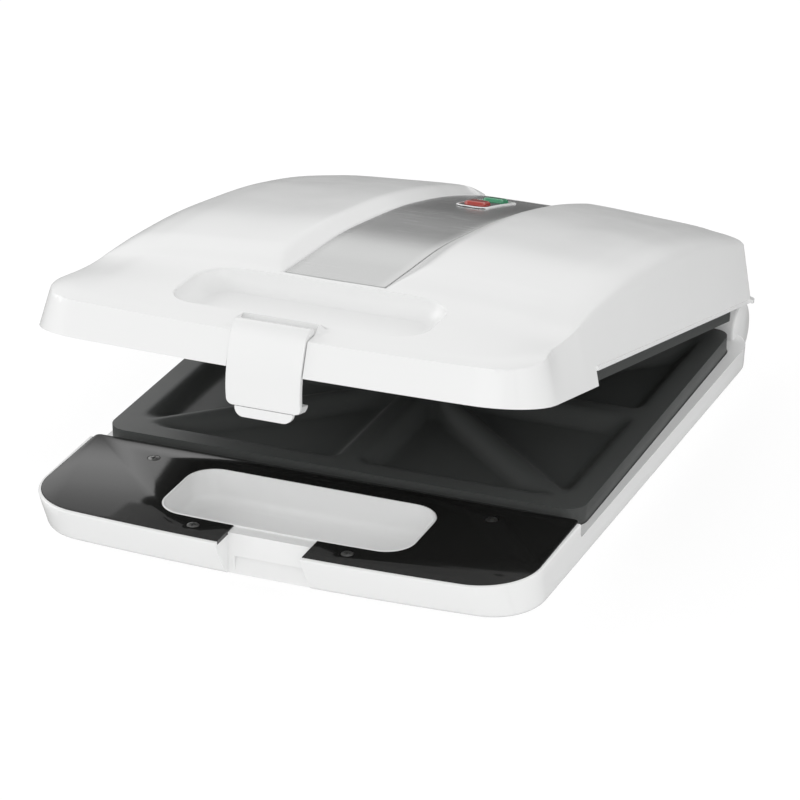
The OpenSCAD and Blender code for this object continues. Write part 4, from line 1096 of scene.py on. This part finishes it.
def screwSet(name, spots, kind, node, body, down=False, inLid=False):
    # heads point up, or down where they hold a piece from below
    headHeight, dome, length = screwKinds[kind]
    piece = screwForm.make(name, spots, screwSteel, headHeight=headHeight * mm, dome=dome * mm,
                           shankLength=length * mm, turn=math.pi if down else 0.0,
                           **{key: value * mm for key, value in screw.items()})
    if inLid:
        openLid(piece)
    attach(piece, body)
    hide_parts(node)


screwForm = buildScrewForm()
deckSpots = [(side * x, frontY + along, deckZ - deckShape["headSink"])
             for side in (-1, 1) for x, along in deckShape["screwSpots"]]
coverSpots = [(side * (lidHalf - coverScrew["fromSide"]), lidY + along, lidZ + 1)
              for side in (-1, 1) for along in (coverScrew["front"], apronLength - coverScrew["fromEnd"])]
lowerSpots = [(x, y, baseShape["wellHeight"]) for x, y in plateScrews]
upperSpots = [(x, y, flangeZ + hollow["flange"]) for x, y in plateScrews]
screwSet("deckScrews", deckSpots, "deck", "deck_screws", "base")
screwSet("lowerPlateScrews", lowerSpots, "lowerPlate", "lower_plate_screws", "base", down=True)
screwSet("upperPlateScrews", upperSpots, "upperPlate", "upper_plate_screws", "lid", inLid=True)
screwSet("coverScrews", coverSpots, "cover", "under_cover_screws", "lid", down=True, inLid=True)

foot = dict(radius=9.0, height=3.0, taper=0.1, groove=0.35, grooves=3, stemRadius=3.0, stemHeight=1.6)


def buildFootForm():
    # a pad with round grooves under it and a stem that goes into the base
    form = Form("footForm", "radius", "height", "taper", "groove", "grooves", "stemRadius", "stemHeight")
    g = form.given
    pad = form.moved(form.cylinder(g("radius"), g("height"), 64, 6, 24), z=g("height") * 0.5)
    x, y, z = form.place()
    out = (x * x + y * y) ** 0.5 / g("radius")
    low = 1.0 - z / g("height")
    inward = low * low * low * g("taper") * -1.0
    ridge = (out * g("grooves") * (2 * math.pi)).math("COSINE") * -0.5 + 0.5
    lift = ridge * g("groove") * low * low * low * (out * -8.0 + 8.0).low(1.0)
    shift = form.node("ShaderNodeCombineXYZ", {}, [x * inward, y * inward, lift])
    pad = form.node("GeometryNodeSetPosition", {}, {"Geometry": pad, "Offset": shift})
    sink = 1 * mm  # the stem reaches this far into the pad
    stem = form.moved(form.cylinder(g("stemRadius"), g("stemHeight") + sink, 32),
                      z=g("height") + g("stemHeight") * 0.5 - sink / 2)
    form.finish(form.joined("UNION", pad, stem))
    return form


footSpots = [(side * baseShape["footX"], frontY + along, 0)
             for side in (-1, 1) for along in baseShape["footAlong"]]
shares = ("taper", "grooves")  # these two are numbers, the others are sizes
feet = buildFootForm().make("rubberFeet", footSpots, footRubber,
                            **{key: value if key in shares else value * mm for key, value in foot.items()})
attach(feet, "base")
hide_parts("rubber_feet")
print("screws and feet done")

panelShape = dict(half=26.3, gap=0.7, corner=2.2, thickness=1.0, round=0.4, strips=120)


def bendOnPanel(piece):
    # lifts a flat piece, drawn at height 0 over the lid, onto the curved panel
    for vertex in piece.data.vertices:
        u = vertex.co.y / mm - lidY
        vertex.co.z += (deckZ + panelHeight(u)) * mm
    piece.data.update()
    return piece


def panelPlate(name):
    # the strip's section, laid along the channel, with its front corners rounded
    p, c = panelShape, channel
    h, r, t = p["half"], p["round"], p["thickness"]
    edge = [(h - r + r * math.sin(a), r * math.cos(a) - r) for a in quarterTurn(4)]
    inner = [(h - r) * k / 6 for k in range(-5, 6)]
    section = [(-h, -t), (h, -t)] + edge[::-1] + [(v, 0) for v in inner[::-1]] + [(-v, z) for v, z in edge]
    front = c["start"] + p["gap"]
    rings = []
    for i in range(p["strips"] + 1):
        u = front + (c["end"] - front) * i / p["strips"]
        rings.append([(v, lidY + u, deckZ + panelHeight(u) + z) for v, z in section])
    back = c["end"] + 20  # past the strip's end, so that only its front corners are rounded
    outline = roundedRect(h * 2, back - front, p["corner"], 0, lidY + (front + back) / 2)
    limit = prism("panelCorners", outline, lidCutLow, lidCutHigh)
    return carve(loftRings(name, rings, 40), limit, "INTERSECT")


trimPanel = panelPlate("trimPanel")
for at in lampSpots:
    carve(trimPanel, lampHole(at, lights["holePlay"]))
shade(trimPanel, 30)
openLid(trimPanel)
setMaterial(trimPanel, trimSatin)
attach(trimPanel, "lid")
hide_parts("trim_panel")


def padOnPanel(name, width, length, radius, middle, low, high, rounding):
    # rounded pad whose outline is filled with enough rows to bend
    r, rows = rounding, 12
    loops = []
    for z, e in [(low, 0)] + [(high - r * (1 - math.sin(a)), r * (1 - math.cos(a))) for a in quarterTurn(5)]:
        outline = roundedRect(width - 2 * e, length - 2 * e, max(radius - e, 0.3), 0, lidY + middle, 8)
        loops.append([(x, y, z) for x, y in outline])
    piece = loftRings(name, loops, 30)
    shaped = bmesh.new()
    shaped.from_mesh(piece.data)
    bmesh.ops.triangulate(shaped, faces=shaped.faces)
    for k in range(1, rows):
        y = (lidY + middle - length / 2 + length * k / rows) * mm
        everything = shaped.verts[:] + shaped.edges[:] + shaped.faces[:]
        bmesh.ops.bisect_plane(shaped, geom=everything, plane_co=(0, y, 0), plane_no=(0, 1, 0))
    shaped.to_mesh(piece.data)
    shaped.free()
    return bendOnPanel(piece)


def buildBezel(name):
    # a rimmed frame round the two lenses; its sunk floor is painted near black as painted shade in the gaps
    # by the lenses
    b, rim = lights, lights["bezelRim"]
    piece = padOnPanel(name, b["bezelWidth"], b["bezelLength"], b["bezelRadius"], b["middle"], 0,
                       b["bezelHeight"], b["bezelRound"])
    carve(piece, padOnPanel("bezelInside", b["bezelWidth"] - 2 * rim, b["bezelLength"] - 2 * rim,
                            b["bezelRadius"] - rim, b["middle"], b["bezelFloor"], 3, b["floorRound"]))
    for at in lampSpots:
        carve(piece, lampHole(at, b["bezelPlay"]))
    shade(piece, 30)
    setMaterial(piece, whiteShell)
    piece.data.materials.append(bezelShade)
    # faces of the sunk floor get the near black painted-shade material
    for face in piece.data.polygons:
        x, y, z = face.center / mm
        inside = abs(x) < b["bezelWidth"] / 2 - rim + 0.1
        low = z - deckZ - panelHeight(y - lidY) < b["bezelFloor"] + 0.05
        face.material_index = 1 if inside and low else 0
    return piece


bezel = openLid(buildBezel("indicatorBezel"))
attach(bezel, "lid")
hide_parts("indicator_bezel")
for name, at, look, node, slot in (("redLens", lampSpots[0], lensRed, "red_lens", "lens_red"),
                                   ("greenLens", lampSpots[1], lensGreen, "green_lens", "lens_green")):
    lens = padOnPanel(name, lights["lensWidth"], lights["lensLength"], lights["lensRadius"], at,
                      -lights["lensDepth"], lights["lensHeight"], lights["lensRound"])
    shade(lens, 40)
    openLid(lens)
    setMaterial(lens, look)
    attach(lens, "lid")
    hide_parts(node)
print("panel and lights done")

view = dict(azimuth=22.45, elevation=24.45, distance=1940.3, focal=3762.0, pictureWidth=800, sensor=36,
            target=(-3.55, -0.67, 25.3))
# floorGlow: the ray, its share of the floor and its strength; lamps: name, place and size in metres, watts
studio = dict(floorTone=0.92, floorHalf=6, behindDark=0.8, behindFrom=(0.4, 0.95),
              behindUpTo=(-0.02, 0.22), lampAim=(0, 0, 0.05),
              floorGlow=[("Is Camera Ray", 0.75, 1.08), ("Is Glossy Ray", 0.92, 0.03),
                         ("Is Diffuse Ray", 0.6, 1.3)],
              lamps=[("topSoftbox", (0.0, 0.1, 1.6), (1.6, 1.6), 0.5),
                     ("frontSoftbox", (0.5, -1.7, 0.8), (1.4, 0.9), 3.2),
                     ("leftSoftbox", (-1.5, -0.2, 0.7), (1.0, 0.8), 4.5),
                     ("rightSoftbox", (1.6, -0.5, 0.5), (1.0, 0.8), 0.9)],
              sky=[(0.0, 0.5), (0.5, 0.45), (0.56, 0.6), (0.64, 1.12), (0.72, 1.2), (0.8, 0.95),
                   (1.0, 0.55)])


def placeCamera(name):
    az, el = math.radians(view["azimuth"]), math.radians(view["elevation"])
    back = Vector((math.sin(az) * math.cos(el), -math.cos(az) * math.cos(el), math.sin(el)))
    data = bpy.data.cameras.new(name)
    data.lens = view["focal"] / view["pictureWidth"] * view["sensor"]
    data.sensor_width = view["sensor"]
    data.clip_end = 50
    camera = bpy.data.objects.new(name, data)
    camera.location = Vector(view["target"]) * mm + back * view["distance"] * mm
    camera.rotation_euler = back.to_track_quat("Z", "Y").to_euler()
    bpy.context.scene.collection.objects.link(camera)
    bpy.context.scene.camera = camera


def layFloor(name):
    mesh = bpy.data.meshes.new(name)
    reach = studio["floorHalf"]
    mesh.from_pydata([(-reach, -reach, 0), (reach, -reach, 0), (reach, reach, 0), (-reach, reach, 0)], [],
                     [(0, 1, 2, 3)])
    piece = bpy.data.objects.new(name, mesh)
    bpy.context.scene.collection.objects.link(piece)
    return piece


def floorWhite(name):
    # matte white that glows by a share of its own for each kind of ray
    f = Finish(name, Roughness=1.0, Specular_IOR_Level=0.0, Base_Color=(*[studio["floorTone"]] * 3, 1))
    path = f.tree.nodes.new("ShaderNodeLightPath")
    shader = Wire(f, f.shader.outputs[0])
    for ray, share, strength in studio["floorGlow"]:
        glow = f.node("ShaderNodeEmission", {}, {"Strength": strength})
        shader = f.node("ShaderNodeMixShader", {}, [Wire(f, path.outputs[ray]) * share, shader, glow])
    f.tree.links.new(shader.socket, f.tree.nodes["Material Output"].inputs["Surface"])
    return f.material


def softLamp(name, place, size, power):
    data = bpy.data.lights.new(name, "AREA")
    data.shape = "RECTANGLE"
    data.size, data.size_y = size
    data.energy = power
    lamp = bpy.data.objects.new(name, data)
    lamp.location = place
    lamp.rotation_euler = (Vector(place) - Vector(studio["lampAim"])).to_track_quat("Z", "Y").to_euler()
    lamp.visible_camera = False
    bpy.context.scene.collection.objects.link(lamp)


placeCamera("productCamera")
floor = layFloor("floor")
setMaterial(floor, floorWhite("floorLook"))
for name, place, size, power in studio["lamps"]:
    softLamp(name, place, size, power)

world = bpy.data.worlds.new("studioWorld")
bpy.context.scene.world = world
world.use_nodes = True


class Sky(Graph):
    # light from all round, by height and weaker behind the object; the camera sees plain white
    def __init__(self, levels):
        self.tree = world.node_tree
        direction = self.node("ShaderNodeTexCoord", {}, [], "Generated")
        parts = self.tree.nodes.new("ShaderNodeSeparateXYZ")
        self.tree.links.new(direction.socket, parts.inputs[0])
        up = Wire(self, parts.outputs["Z"])
        height = up * 0.5 + 0.5
        stops = [(at, (v / 2, v / 2, v / 2, 1)) for at, v in levels]
        level = self.node("ShaderNodeValToRGB", {"stops": stops}, [height])
        seen = self.node("ShaderNodeLightPath", {}, [], "Is Camera Ray")
        behind = (Wire(self, parts.outputs["Y"]).within(*studio["behindFrom"])
                  * (1.0 - up.within(*studio["behindUpTo"])))
        strength = (level * 2.0 * (1.0 - behind * studio["behindDark"])).high(seen)
        self.tree.links.new(strength.socket, self.tree.nodes["Background"].inputs["Strength"])
        self.tree.nodes["Background"].inputs["Color"].default_value = (1, 1, 1, 1)


Sky(studio["sky"])
bpy.context.scene.view_settings.view_transform = "Standard"
print("stage, lamps and camera set")
